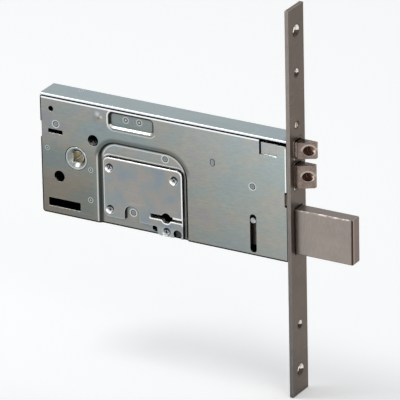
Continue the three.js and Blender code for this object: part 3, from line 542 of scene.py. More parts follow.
def band(tree, distance, start, end, soft, *shares):
    """A line along an outline between two distances from it, where the shares let it show."""
    rise = add(tree, "MapRange", (distance, start - soft, start + soft),
               interpolation_type="SMOOTHSTEP")
    made = add(tree, "MapRange", (distance, end + soft, end - soft),
               interpolation_type="SMOOTHSTEP")
    for share in (rise, *shares):
        made = add(tree, "Math", (made, share), operation="MULTIPLY")
    return made


def metal(name, tints, worn, patch, grain, rough, stretch=(1, 1, 1), patch_stretch=(1, 1, 1),
          grain_depth=0.004, grain_show=0.25, scratch_show=0.3, scratch_turn=0.5, edge=0.5,
          edge_show=0.6, crevice_shade_show=0.6, skin=None, light_and_wear=None, marks=()):
    """A metal with patches of tint, fine grain, scratches, bright worn edges and painted shade in
    corners.

    patch, grain and edge are millimetres; rough is the least and the greatest roughness. The two
    coat functions give coats, each a share, a colour and how they mix: skin's lie under the grain
    and the wear, the second one's over them, and most are painted highlights and shade. marks are
    small round
    punch marks: their middle and radius."""
    material = bpy.data.materials.new(name)
    material.use_nodes = True
    tree = material.node_tree
    tree.nodes.clear()
    place = add(tree, "TexCoord", out="Object")
    fields = {}
    for label, size, detail, coarse, pull, turn in (
        ("patches", patch, 2.5, 0.55, patch_stretch, 0.0),
        ("grain", grain, 4.0, 0.6, stretch, 0.0),
        ("lines", 0.25, 1.0, 0.4, (160, 160, 1), scratch_turn),
        ("gaps", 14.0, 1.0, 0.5, (1, 1, 1), 0.0),
        ("rub", 3.0, 3.0, 0.5, (1, 1, 1), 0.0),
    ):
        scaled = add(tree, "Mapping", {
            "Vector": place, "Rotation": (0, turn, 0), "Scale": [1 / (size * MM * p) for p in pull],
        })
        fields[label] = add(tree, "TexNoise", {
            "Vector": scaled, "Scale": 1.0, "Detail": detail, "Roughness": coarse,
        })
    bevelled = add(tree, "Bevel", {"Radius": edge * MM}, samples=4)
    surface = add(tree, "NewGeometry", out="Normal")
    flatness = add(tree, "VectorMath", (bevelled, surface), out="Value",
                   operation="DOT_PRODUCT")
    hollow = add(tree, "AmbientOcclusion", {"Distance": 4 * MM}, out="AO", samples=4)
    mixed = add(tree, "Math", (fields["patches"], 0.4), operation="MULTIPLY")
    mixed = add(tree, "Math", (fields["grain"], 0.6, mixed), operation="MULTIPLY_ADD")
    # Each of these turns a field into a share between two values.
    shares = {}
    for label, field, none, full, low, high in (
        ("grain", fields["grain"], 0.3, 0.7, 0.25, 0.75),
        ("lines", fields["lines"], 0.70, 0.76, 0.0, scratch_show),
        ("gaps", fields["gaps"], 0.45, 0.6, 0.0, 1.0),
        ("rub", fields["rub"], 0.25, 0.55, 0.35 * edge_show, edge_show),
        ("bend", flatness, 0.99, 0.84, 0.0, 1.0),
        ("open", hollow, 0.4, 0.75, 0.0, 1.0),
        ("shade", hollow, 0.25, 0.95, 1 - crevice_shade_show, 1.0),
        ("rough", mixed, 0.3, 0.7, *rough),
    ):
        shares[label] = add(tree, "MapRange", (field, none, full, low, high),
                            interpolation_type="SMOOTHSTEP")
    scratch = add(tree, "Math", (shares["lines"], shares["gaps"]), operation="MULTIPLY")
    wear = add(tree, "Math", (shares["bend"], shares["rub"]), operation="MULTIPLY")
    wear = add(tree, "Math", (wear, shares["open"]), operation="MULTIPLY")
    height = add(tree, "Math", (scratch, -0.01), operation="MULTIPLY")
    height = add(tree, "Math", (fields["grain"], grain_depth, height),
                 operation="MULTIPLY_ADD")
    coats = skin(tree, place, fields) if skin else []
    # Painted shade: the colour is multiplied by the ambient occlusion share, darker in corners and
    # hollows.
    coats += [(grain_show, shares["grain"], "OVERLAY"), (scratch, worn, "MIX"),
              (1.0, shares["shade"], "MULTIPLY"), (wear, worn, "MIX")]
    coats += light_and_wear(tree, place, fields) if light_and_wear else []
    # A punch mark is a shallow bowl in the bump, with a painted highlight on its lip and in its
    # middle and painted shade in a ring between.
    for middle, radius in marks:
        far = from_circle(tree, place, middle, radius)
        bowl = add(tree, "MapRange", (far, 0.0, -0.8 * radius),
                   interpolation_type="SMOOTHSTEP")
        height = add(tree, "Math", (bowl, -0.35, height), operation="MULTIPLY_ADD")
        for start, end, share, tint, mode in (
            (-0.45 * radius, 0.0, 0.8, "#6a6e6e", "MULTIPLY"),
            (0.0, 0.4 * radius, 0.5, "#e4e8e6", "MIX"),
            (-2.0 * radius, -0.6 * radius, 0.6, "#dde1df", "MIX"),
        ):
            coats.append((band(tree, far, start, end, 0.2 * radius, share), tint, mode))
    final = add(tree, "ValToRGB", [fields["patches"]], stops=tints)
    for share, tint, mode in coats:
        tint = colour(tint) if isinstance(tint, str) else tint
        final = add(tree, "Mix", {0: share, 6: final, 7: tint}, out=2, data_type="RGBA",
                    blend_type=mode)
    bump = add(tree, "Bump", {"Height": height, "Distance": MM, "Strength": 1.0})
    smooth = add(tree, "Math", (wear, -0.08, shares["rough"]), operation="MULTIPLY_ADD",
                 use_clamp=True)
    shader = add(tree, "BsdfPrincipled", {
        "Base Color": final, "Metallic": 1.0, "Roughness": smooth, "Normal": bump,
    })
    add(tree, "OutputMaterial", {"Surface": shader})
    return material


def cover_tint_and_shade(tree, place, fields):
    """The coat is bluer to the front, and paler in the pocket than in the label recess. Painted
    light makes it lighter to the front and the top, and painted shade darker at the foot and the
    rear."""
    across = along(tree, place, "X", -203, 0, [
        (0.0, "#8a9496"), (0.25, "#959d9c"), (0.5, "#9da3a1"), (0.72, "#b0babb"), (1.0, "#c8d1d0"),
    ])
    down = along(tree, place, "Z", -46, 46, [
        (0.0, "#e0dad4"), (0.5, "#efebe6"), (1.0, "#ffffff"),
    ])
    rear = within(tree, place, ("X", -150, -164), ("Z", 16, 0))
    low_rear_shade = within(tree, place, ("X", -154, -166), ("Z", -10, -24))
    floor = within(tree, place, ("Y", -9.1, -8.96), ("Z", 28, 26))
    label = within(tree, place, ("Y", -9.1, -8.96), ("Z", 26, 28))
    # The gradient up the height and the two rear masks are painted shade; the bluer one across also
    # paints light.
    return [(0.52, across, "MIX"), (1.0, down, "MULTIPLY"), (rear, "#f1efed", "MULTIPLY"),
            (low_rear_shade, "#fcf6f1", "MULTIPLY"), (floor, "#3c3c41", "SCREEN"),
            (label, "#e2edf0", "MULTIPLY")]


def cover_highlights_and_shade(tree, place, fields):
    """Painted highlights and shade on the cover's walls, rims, recesses and edges."""
    coats = []
    # Painted shade darkens the pressed and sheared walls, and a painted highlight lies on those
    # that face up.
    wall = within(tree, place, ("Y", -10.43, -10.2), ("Y", -8.84, -9.05), ("X", -25.5, -26.5))
    rising_highlight = add(tree, "Math", (wall, turned_to(tree, "Z", 0.2, 0.5)),
                 operation="MULTIPLY")
    rising_highlight = add(tree, "Math", (rising_highlight, 0.7), operation="MULTIPLY")
    coats += [(wall, "#9d9e9c", "MULTIPLY"), (rising_highlight, "#f6f4ec", "MIX")]
    # The pocket's rim: its two upper corners have their own radius.
    left, right = (from_outline(tree, place, (-155.35, None, -80), (-84.35, None, 17.9), radius)
                   for radius in (14, 17.3))
    rearward = within(tree, place, ("X", -119, -121))
    rim = add(tree, "Mix", {0: rearward, 2: right, 3: left}, data_type="FLOAT")
    rear_side = within(tree, place, ("X", -147, -152), ("Z", 10, 3))
    above = within(tree, place, ("Z", 2, 9))
    outer = within(tree, place, ("Y", -9.2, -9.6))
    # Painted shade on the rim and outside it, with painted highlights inside its upper part and
    # outside its rear side.
    coats += [
        (band(tree, rim, 0.2, 3.4, 1.3, above, outer, 0.55), "#5d605f", "MULTIPLY"),
        (band(tree, rim, -0.9, 0.7, 0.5, above, 0.75), "#4a4c4b", "MULTIPLY"),
        (band(tree, rim, -2.5, -1.6, 0.3, above, 0.6), "#dfe3e0", "MIX"),
        (band(tree, rim, 1.3, 2.3, 0.3, rear_side, 0.6), "#e6e9e5", "MIX"),
        (band(tree, rim, -1.5, 1.1, 0.4, rear_side, 0.4), "#787a79", "MULTIPLY"),
        (band(tree, rim, -1.9, -1.0, 0.3, rear_side, 0.55), "#5a5c5b", "MULTIPLY"),
    ]
    # The label recess: painted shade on its walls, a painted highlight outside its rear end, and
    # below it painted shade with a painted highlight under that.
    label = from_outline(tree, place, *LABEL)
    rear_end = within(tree, place, ("X", -143.5, -146))
    not_low = within(tree, place, ("Z", 30.6, 32.5))
    below = within(tree, place, ("Z", 31, 29.8), ("X", -149, -147.5), ("X", -108, -109.5))
    coats += [
        (band(tree, label, -1.9, 0.0, 0.3, not_low, 0.85), "#55575a", "MULTIPLY"),
        (band(tree, label, 0.3, 1.3, 0.25, rear_end, 0.85), "#f4f6f4", "MIX"),
        (band(tree, label, 0.4, 1.1, 0.3, below, 0.5), "#8d8f8b", "MULTIPLY"),
        (band(tree, label, 1.4, 2.2, 0.3, below, 0.55), "#d6dad6", "MIX"),
    ]
    # A tab inside the case has pushed the sheet out a little beside the label recess; only the
    # bulge's light and shade are painted, highlights on its upper side and shade on its lower side.
    for x, z, radius, show, tint in ((-157.6, 34.2, 4.0, 0.4, "#5f6462"),
                                     (-155.9, 38.0, 3.2, 0.75, "#e3e6e1"),
                                     (-152.9, 36.2, 1.8, 0.7, "#eef1ed"),
                                     (-155.0, 35.0, 1.9, 0.7, "#565a58")):
        bulge_shading = from_circle(tree, place, (x, None, z))
        coats.append((band(tree, bulge_shading, -1, 0.35 * radius, 0.65 * radius, show), tint, "MIX"))
    # A painted highlight on the pocket's floor above the guard plate, and painted shade beside its
    # foot
    plate = from_outline(tree, place, *GUARD_RIM)
    upper = within(tree, place, ("Z", 5, 6.7))
    bite = from_outline(tree, place, (-96.1, None, -46.7), (-88.2, None, -38.8), 3.9)
    on_floor = within(tree, place, ("Y", -9.1, -8.9))
    coats += [
        (band(tree, plate, 0.9, 1.9, 0.3, upper, 0.7), "#f0f3ef", "MIX"),
        (band(tree, bite, -9, 0.0, 0.3, on_floor, 0.85), "#5a5c5b", "MULTIPLY"),
    ]
    # A painted highlight rings each pillar's hole.
    for x, z, _ in PILLARS.values():
        ring = from_circle(tree, place, (x, None, z), PILLAR_HOLE)
        coats.append((band(tree, ring, 0.1, 0.9, 0.25, 0.6), "#e6eae8", "MIX"))
    # A painted highlight lies on the ward behind the keyhole's front arm.
    ward = within(tree, place, ("X", KEY[0] + 3.8, KEY[0] + 4.4), ("X", -87.6, -88.0),
                  ("Z", -33.0, -32.4), ("Z", -29.0, -29.4), ("Y", -9.3, -9.0))
    coats.append((ward, "#ffffff", "MIX"))
    # A painted highlight along the upper edge, beside painted shade for the gap under the tray's
    # bend.
    coats.append((within(tree, place, ("Z", 42.0, 42.5), ("Z", 43.5, 43.3)), "#ffffff", "MIX"))
    coats.append((within(tree, place, ("Z", 43.25, 43.45)), "#2b2e30", "MIX"))
    # A painted highlight along its front edge above the notch, and a little below it.
    edge = ("X", COVER_FRONT - 1.3, COVER_FRONT - 0.9)
    coats.append((within(tree, place, edge, ("Z", 6.5, 7.5), ("Z", 41, 40)), "#f4f8f8", "MIX"))
    # Painted shade darkens the foot, the rear edge and the sheet's inner face.
    for limits, tint in ([("Z", -44.5, -45.0)], "#3a3c3b"), ([("X", -202.1, -202.6)], "#3f4140"):
        coats.append((within(tree, place, *limits), tint, "MULTIPLY"))
    coats.append((turned_to(tree, "Y", 0.3, 0.7), "#4a4c4c", "MULTIPLY"))
    return coats


def tray_highlights_and_shade(tree, place, fields):
    """A painted highlight on the front bend, and painted shade on its lip and inside the case."""
    bend_highlight = within(tree, place, ("Y", -9.4, -10.0), ("Z", 44.2, 44.6))
    lip = within(tree, place, ("Y", -8.9, -9.4), ("Z", 44.75, 44.5))
    inner_shade = within(tree, place, ("Y", 8.97, 8.93), ("X", -201.85, -201.8), ("Z", 44.36, 44.32),
                  ("Z", -44.36, -44.32))
    return [(bend_highlight, "#e9f1f3", "MIX"), (lip, "#2c2f31", "MIX"), (inner_shade, "#4a4c4c", "MULTIPLY")]


def countersink_coats(tree, place):
    """A countersink has a painted highlight on its lower rear side, weaker at the plate's foot, and
    painted shade on its upper front side."""
    coats = []
    for index, (x, z) in enumerate(GUARD_SCREWS):
        cone = from_circle(tree, place, (x, None, z), COUNTERSINK)
        highlight_share = 0.85 if index < 3 else 0.3
        for dx, dz, show, tint in ((1.6, 1.9, 0.9, "#303334"), (-1.3, -1.6, highlight_share, "#ffffff")):
            part = from_circle(tree, place, (x + dx, None, z + dz))
            near = add(tree, "MapRange", (part, 2.7, 1.7),
                       interpolation_type="SMOOTHSTEP")
            coats.append((band(tree, cone, -1.5, 0.15, 0.2, near, show), tint, "MIX"))
    return coats


def guard_skin(tree, place, fields):
    """The foot is cooler than the rest."""
    foot = within(tree, place, ("Z", -37, -41))
    return [(foot, "#9da5a7", "MIX")]


def guard_highlights_and_shade(tree, place, fields):
    """Painted highlights on the rim and the keyhole's lower lip, and painted shade on the cut
    sides.
    """
    rim = from_outline(tree, place, *GUARD_RIM)
    high = within(tree, place, ("Z", -36.5, -34))
    face = within(tree, place, ("Y", -10.3, -10.7))
    across = add(tree, "SeparateXYZ", [place], out="X")
    rear_less = add(tree, "MapRange", (across, -151.8 * MM, -149 * MM, 0.35, 0.9))
    x, z = KEY
    bar = from_outline(tree, place, (x - KEY_REACH, None, z - KEY_RISE),
                       (x + KEY_REACH, None, z + KEY_RISE), 0.1)
    hub = from_circle(tree, place, (x, None, z), KEY_HUB)
    key = add(tree, "Math", (bar, hub), operation="MINIMUM")
    low = within(tree, place, ("Z", z - 0.8, z - 1.5))
    return [
        (band(tree, rim, -0.95, 0.5, 0.25, high, face, rear_less), "#ffffff", "MIX"),
        (band(tree, key, -0.6, 0.9, 0.25, low, 0.9), "#fbfdf9", "MIX"),
        (turned_to(tree, "X", 0.75, 0.95), "#2c2d2c", "MULTIPLY"),
        (turned_to(tree, "Z", 0.75, 0.95), "#6a6c6a", "MULTIPLY"),
        *countersink_coats(tree, place),
    ]


def screw_highlights_and_shade(tree, place, fields):
    """Painted shade darkens the heads' upper sides, and a painted highlight lies on their lower
    sides.
    """
    return [(turned_to(tree, "Z", 0.05, 0.3), "#6d7375", "MULTIPLY"),
            (turned_to(tree, "Z", -0.08, -0.4), "#ffffff", "MIX")]


def bronzed_highlights_and_shade(tree, place, fields):
    """A painted highlight on the heads' rear side, and painted shade on their lower side."""
    return [(turned_to(tree, "Y", 0.02, -0.2), "#f6e4d4", "MIX"),
            (turned_to(tree, "Z", -0.1, -0.4), "#4b3f38", "MULTIPLY")]


def plate_side_highlight(tree, place, fields):
    """A painted highlight makes the long edges of the drawn bar lighter than its face, most of all
    near its top.
    """
    side_light = along(tree, place, "Z", -150, 144, [(0.0, "#696868"), (0.4, "#7b7571"),
                                               (0.75, "#938b85")])
    coats = []
    for sign in (-1, 1):
        edge = within(tree, place, ("Y", sign * 10.7, sign * 10.95))
        coats.append((edge, side_light, "MIX"))
    return coats


def plate_highlights_and_shade(tree, place, fields):
    """The openings have surrounds of painted shade, the latches' openings lips with a painted
    highlight, and each hole a painted highlight on its upper side and painted shade at its foot."""
    coats = []
    front_face = within(tree, place, ("X", -0.8, -0.4))
    speckle = add(tree, "MapRange", (fields["rub"], 0.4, 0.6, 0.2, 1.0),
                  interpolation_type="SMOOTHSTEP")
    rear_side = within(tree, place, ("Y", -3.6, -4.4))
    for bottom, top, _ in LATCHES.values():
        lip = from_outline(tree, place, (None, -4.7, bottom - 0.4), (None, 4.7, top + 0.4), 0.4)
        coats += [
            (band(tree, lip, 0.9, 2.4, 0.6, front_face, speckle, 0.7), "#2f2723", "MIX"),
            (band(tree, lip, -0.3, 0.9, 0.2, front_face, rear_side, 0.8), "#e3d8cd", "MIX"),
        ]
    lip = from_outline(tree, place, (None, -5.5, -41.3), (None, 5.5, -6.2), 0.4)
    coats.append((band(tree, lip, 0.1, 0.9, 0.3, front_face, speckle, 0.4), "#3a322d", "MIX"))
    for z, _, head in FACEPLATE_HOLES:
        ring = from_circle(tree, place, (None, 0, z), head)
        upper = within(tree, place, ("Y", -0.6, 0.4), ("Z", z - 1.0, z - 0.2))
        lower = within(tree, place, ("Z", z - 0.4, z - 1.2))
        coats += [
            (band(tree, ring, -9, -0.1, 0.2, lower, 0.75), "#352c27", "MIX"),
            (band(tree, ring, -9, -0.1, 0.2, upper, 0.9), "#fff6ee", "MIX"),
            (band(tree, ring, 0.2, 1.0, 0.3, front_face, 0.5), "#4a413b", "MIX"),
        ]
    return coats


def bolt_shaded_faces(tree, place, fields):
    """The bolt's flats are ground bright; painted shade makes its top, foot and end a darker brown.
    """
    shade_brown = "#746b66"
    return [
        (within(tree, place, ("Z", -7.6, -6.9)), shade_brown, "MIX"),
        (within(tree, place, ("Z", -39.9, -40.6)), shade_brown, "MIX"),
        (within(tree, place, ("X", 44.9, 45.5)), "#7c6b62", "MIX"),
    ]


def bolt_highlights_and_shade(tree, place, fields):
    """A painted highlight runs in dashes along the upper front edge; painted shade darkens the
    end's upright edges and the upper back edge, with a painted highlight beside the front one.
    """
    dashes = add(tree, "MapRange", (fields["rub"], 0.38, 0.58, 0.25, 0.9),
                 interpolation_type="SMOOTHSTEP")
    edge = within(tree, place, ("Y", -4.3, -4.6), ("Z", -7.9, -7.5), ("X", 44.0, 42.0))
    edge_highlight = add(tree, "Math", (edge, dashes), operation="MULTIPLY")
    upright = within(tree, place, ("X", 44.3, 44.7), ("Y", -4.2, -4.5))
    beside = within(tree, place, ("X", 45.2, 45.5), ("Y", -2.6, -3.2), ("Y", -4.5, -4.1))
    far = within(tree, place, ("X", 45.2, 45.5), ("Y", 3.8, 4.3))
    back = within(tree, place, ("Z", -7.4, -6.9), ("Y", 4.0, 4.4))
    return [(edge_highlight, "#ddd2ca", "MIX"), (upright, "#8b8474", "MULTIPLY"), (beside, "#9d8f8a", "MIX"),
            (far, "#8a7873", "MULTIPLY"), (back, "#9a9692", "MULTIPLY")]


def latch_dark_tops(tree, place, fields):
    """The tops of the latches are darker in patches."""
    top_patches = add(tree, "MapRange", (fields["rub"], 0.38, 0.55, 0.35, 1.0),
                 interpolation_type="SMOOTHSTEP")
    coats = []
    for _, top, _ in LATCHES.values():
        upper = within(tree, place, ("Z", top - 0.7, top - 0.2), ("Z", top + 0.2, top + 0.1))
        share = add(tree, "Math", (upper, top_patches), operation="MULTIPLY")
        coats.append((share, "#3f342d", "MIX"))
    return coats


def latch_highlights_and_shade(tree, place, fields):
    """Painted shade in copper brown fills the recesses, with painted highlights on their upper lips
    and a painted glint low on their front sides, and the upper latch has a painted highlight where
    it leaves its opening."""
    coats = []
    outer = within(tree, place, ("X", 0.4, 1.0))
    for name, (bottom, top, projection) in LATCHES.items():
        middle, centre = (bottom + top) / 2, projection - RECESS_BACK
        ring = from_circle(tree, place, (centre, None, middle), RECESS[name])
        high = within(tree, place, ("Z", middle - 1.0, middle + 1.5))
        glint = from_circle(tree, place, (centre + 2.5, None, middle - 1.4))
        coats += [
            (band(tree, ring, -9, -0.3, 0.3, 0.6), "#6e4c38", "MIX"),
            (band(tree, ring, 0.3, 1.2, 0.3, outer, high, 0.6), "#d8c8bd", "MIX"),
            (band(tree, glint, -1, 1.2, 0.8, 0.97), "#ffe9d6", "MIX"),
        ]
    bottom, top, _ = LATCHES["upper"]
    line = within(tree, place, ("X", 0.5, 0.8), ("X", 1.8, 1.5), ("Y", -4.0, -4.2),
                  ("Z", bottom + 1, bottom + 2))
    coats.append((line, "#efe4da", "MIX"))
    return coats


def follower_shade_and_highlights(tree, place, fields):
    """Painted shade darkens the dish but for a painted highlight at its foot, the square bore has
    painted shade and reflection in olive and brass with a painted highlight on its lower wall, and
    painted shade darkens what turns inside the case."""
    x, z = FOLLOWER
    square = from_outline(tree, place, (x - 4.2, None, z - 4.2), (x + 4.2, None, z + 4.2), 0.01)
    ring = from_circle(tree, place, (x, None, z), 8)
    bore_shade = add(tree, "ValToRGB", [fields["rub"]],
                stops=[(0.35, "#8d7f4a"), (0.6, "#6d6a4c")])
    case_shade = within(tree, place, ("Y", 8.8, 8.4), ("Y", -8.8, -8.4))
    low = from_outline(tree, place, (x - 0.6, None, z - 5.7), (x + 1.0, None, z - 5.5), 0.1)
    front_face = within(tree, place, ("Y", -7.0, -7.3))
    return [
        (band(tree, ring, -20, -0.6, 0.2, 0.6), "#767a70", "MIX"),
        (band(tree, square, -20, 0.02, 0.12), bore_shade, "MIX"),
        (band(tree, square, -1.0, 0.05, 0.3, within(tree, place, ("Z", z - 3.4, z - 3.9)), 0.9),
         "#ffffff", "MIX"),
        (band(tree, low, -1, 1.0, 0.6, front_face, 0.95), "#ffffff", "MIX"),
        (band(tree, ring, 0.1, 40, 0.15, case_shade), "#3f4040", "MIX"),
    ]


# Passivated zinc on cold rolled sheet: a cool satin grey with faint straw, pink and blue clouds.
ZINC_TINTS = [(0.28, "#8494a0"), (0.42, "#8a9c9d"), (0.5, "#979a96"), (0.56, "#a39e90"),
              (0.62, "#9b949b"), (0.74, "#8d9d9b")]
cover_zinc = metal(
    "passivated_zinc_cover_sheet", ZINC_TINTS, "#ffffff", patch=20, grain=0.6, rough=(0.3, 0.4),
    stretch=(6, 1, 1), patch_stretch=(1.8, 1, 1), grain_depth=0.002, grain_show=0.14,
    scratch_show=0.2, edge=0.5, edge_show=1.0, crevice_shade_show=0.85, skin=cover_tint_and_shade,
    light_and_wear=cover_highlights_and_shade,
    marks=[((-133.6, None, 36.8), 1.8), ((-122.5, None, 37.0), 1.8), ((-198.2, None, 4.3), 1.3),
           ((-162.6, None, -6.3), 1.4), ((-163.3, None, -29.7), 1.5)],
)
# The same coat on the bent tray: smoother bluish clouds, drawn out along the bends.
tray_zinc = metal(
    "passivated_zinc_tray_sheet",
    [(0.25, "#8d9ba1"), (0.5, "#929fa2"), (0.75, "#8e9a9b")], "#ffffff", patch=30, grain=0.6,
    rough=(0.3, 0.4), stretch=(6, 1, 1), patch_stretch=(2.6, 1, 1), grain_depth=0.002,
    grain_show=0.14, scratch_show=0.2, edge=0.7, edge_show=1.0, crevice_shade_show=0.85,
    light_and_wear=tray_highlights_and_shade, marks=[((-178.3, 5.8, None), 1.3)],
)
# Case-hardened plate under zinc: a warmer, slightly mottled grey with painted highlights on its
# rims.
hardened_plate = metal(
    "zinc_plated_hardened_plate",
    [(0.28, "#87909a"), (0.42, "#8e9596"), (0.52, "#979693"), (0.64, "#9c9893"), (0.75, "#959d9c")],
    "#f6f7f3", patch=14, grain=0.5, rough=(0.28, 0.4), stretch=(2, 1, 1), grain_depth=0.003,
    grain_show=0.2, scratch_show=0.3, edge=0.9, edge_show=1.0, crevice_shade_show=0.85,
    skin=guard_skin, light_and_wear=guard_highlights_and_shade,
)
# Zinc-plated, turned screw heads: brighter and smoother than the sheet, with sharp glints.
screw_steel = metal(
    "zinc_plated_screw_steel",
    [(0.3, "#9aa1a3"), (0.7, "#bcc0c0")],
    "#ffffff", patch=3, grain=0.3, rough=(0.14, 0.24), grain_depth=0.001,
    grain_show=0.2, scratch_show=0.2, edge=0.35, edge_show=1.0, crevice_shade_show=0.95,
    light_and_wear=screw_highlights_and_shade,
)
# The faceplate's own screws, oiled to the same brown, with a bare bright edge and a painted
# highlight.
bronzed_screw = metal(
    "bronzed_screw_steel",
    [(0.3, "#76655a"), (0.7, "#927f72")],
    "#fff0e2", patch=3, grain=0.3, rough=(0.18, 0.28), grain_depth=0.001,
    grain_show=0.2, scratch_show=0.2, edge=0.4, edge_show=1.0, crevice_shade_show=0.9,
    light_and_wear=bronzed_highlights_and_shade,
)
# Oxidised drawn steel bar: a dark bronze brown with a fine grain along its length.
faceplate_steel = metal(
    "bronzed_faceplate_steel",
    [(0.25, "#5e5249"), (0.5, "#655a50"), (0.75, "#6e625a")],
    "#c3b8ad", patch=26, grain=0.5, rough=(0.32, 0.44), stretch=(1, 1, 14), grain_depth=0.003,
    grain_show=0.3, scratch_show=0.5, scratch_turn=0.9, edge=0.5, edge_show=0.8,
    crevice_shade_show=0.75, skin=plate_side_highlight, light_and_wear=plate_highlights_and_shade,
)
# Surface-ground steel: a warm grey with faint upright grinding lines.
bolt_steel = metal(
    "ground_bolt_steel",
    [(0.3, "#978e88"), (0.7, "#a1978f")],
    "#e6e0d8", patch=16, grain=0.4, rough=(0.3, 0.42), stretch=(1, 1, 12), grain_depth=0.003,
    grain_show=0.2, scratch_show=0.25, edge=0.6, edge_show=0.35, crevice_shade_show=0.75,
    skin=bolt_shaded_faces, light_and_wear=bolt_highlights_and_shade,
)
# Cast bronze-grey zamak: mottled and glossy where the door's keep rubs it.
cast_latch = metal(
    "bronzed_cast_latch",
    [(0.25, "#75665d"), (0.5, "#877870"), (0.75, "#998b81")],
    "#f7e8da", patch=4, grain=0.7, rough=(0.16, 0.28), grain_depth=0.006,
    grain_show=0.45, scratch_show=0.3, edge=0.6, edge_show=1.0, crevice_shade_show=0.75,
    skin=latch_dark_tops, light_and_wear=latch_highlights_and_shade,
)
# Die-cast zinc: pale and slightly pitted, bright at the rim, with painted shade in the dish and the
# bore.
cast_zinc = metal(
    "cast_zinc_follower",
    [(0.25, "#96a0a0"), (0.5, "#a9b1b0"), (0.75, "#b6bcba")],
    "#ffffff", patch=6, grain=0.7, rough=(0.22, 0.34), grain_depth=0.005,
    grain_show=0.3, scratch_show=0.3, edge=0.5, edge_show=0.9, crevice_shade_show=0.8,
    skin=follower_shade_and_highlights,
)
# Zinc-plated mild steel inside the case and on the pillars' ends: plain grey with light edges.
inner_steel = metal(
    "zinc_plated_inner_steel",
    [(0.25, "#848b8d"), (0.5, "#91989a"), (0.75, "#9aa1a1")],
    "#eef1f1", patch=12, grain=0.5, rough=(0.3, 0.44), grain_depth=0.003,
    grain_show=0.2, scratch_show=0.3, edge=0.3, edge_show=0.9, crevice_shade_show=0.9,
)
# Blued spring wire and leaf: a dark blue-grey sheen.
spring_steel = metal(
    "blued_spring_steel",
    [(0.25, "#5c5f66"), (0.5, "#6d7073"), (0.75, "#7c7a78")],
    "#b9bcc0", patch=5, grain=0.4, rough=(0.26, 0.4), grain_depth=0.001,
    grain_show=0.2, scratch_show=0.1, edge=0.15, edge_show=0.5,
)
SLOTS = {
    "zinc_sheet": tray_zinc,
    "hardened_plate": hardened_plate,
    "screw_steel": screw_steel,
    "faceplate_steel": faceplate_steel,
    "bolt_steel": bolt_steel,
    "cast_latch": cast_latch,
    "cast_zinc": cast_zinc,
    "inner_steel": inner_steel,
    "spring_steel": spring_steel,
}
for subpart in frame["record"]["subparts"]:
    node = frame["nodes"][subpart["node"]]
    material = SLOTS[subpart["material_slot"]]
    for index in range(len(node.data.materials)):
        node.data.materials[index] = material


# The cover: one pressed sheet with a pocket, a label recess and a sunk corner tab


def pocket_corners(grow):
    """The pocket's rim from its rear foot over the top to its front foot."""
    return [
        (-155.35 - grow, CASE_BOTTOM, 0),
        (-155.35 - grow, 17.9 + grow, 14 + grow),
        (-84.35 + grow, 17.9 + grow, 17.3 + grow),
        (-84.35 + grow, CASE_BOTTOM, 0),
    ]


def tab_corners(grow):
    """The sunk tab's rim from the cover's top down its front side and along its foot."""
    return [
        (-10.5 + grow, 41.7, 0),
        (-10.5 + grow, 32.6 - grow, 0.9 + grow),
        (-24.0, 32.6 - grow, 0),
    ]


def label_outline(grow):
    (x0, _, z0), (x1, _, z1), radius = LABEL
    return rectangle(x0 - grow, x1 + grow, z0 - grow, z1 + grow, radius + grow, 10)


def pressed_wall(bm, outline, reach, depth, steps, closed, middle=0.0):
    """A wall that curves from the sheet's face down to a floor."""
    rings = []
    for step in range(steps + 1):
        share = step / steps
        grow = middle + reach * (1 - 2 * share)
        fall = depth * (1 - math.cos(math.pi * share)) / 2
        rings.append([Vector((x, COVER_FACE + fall, z)) for x, z in outline(grow)])
    strip(bm, rings, closed)


def pillar_holes(level_of):
    return [circle(x, z, PILLAR_HOLE, 40) for x, z, face in PILLARS.values() if face == level_of]


def sheet_holes():
    """Holes that go through the flat of the cover."""
    x, z = FOLLOWER
    holes = [circle(x, z, FOLLOWER_HOLE, 72)]
    holes += [circle(x, z, FIXING_RADIUS) for x, z in FIXING_HOLES]
    holes += pillar_holes(COVER_FACE)
    holes.append(circle(-194.45, 35.0, 2.0, 40))
    holes.append(rectangle(-198.05, -171.95, -40.2, -33.9, 0.5))
    holes.append(rectangle(-197.05, -185.25, 16.3, 19.4, 0.4))
    holes.append(slot(-30.8, -41.4, -17.2, 2.5))
    holes.append(slot(TENON[0], TENON[1] - 1, TENON[1] + 1, 1.8))
    return holes


def floor_holes():
    """Holes that go through the pocket's floor."""
    holes = [keyhole(0.15, KEY_WARD), circle(-111.05, -41.6, 2.7)]
    holes += pillar_holes(POCKET_FLOOR)
    holes += [circle(x, z, 1.8, 32) for x, z in GUARD_SCREWS]
    return holes


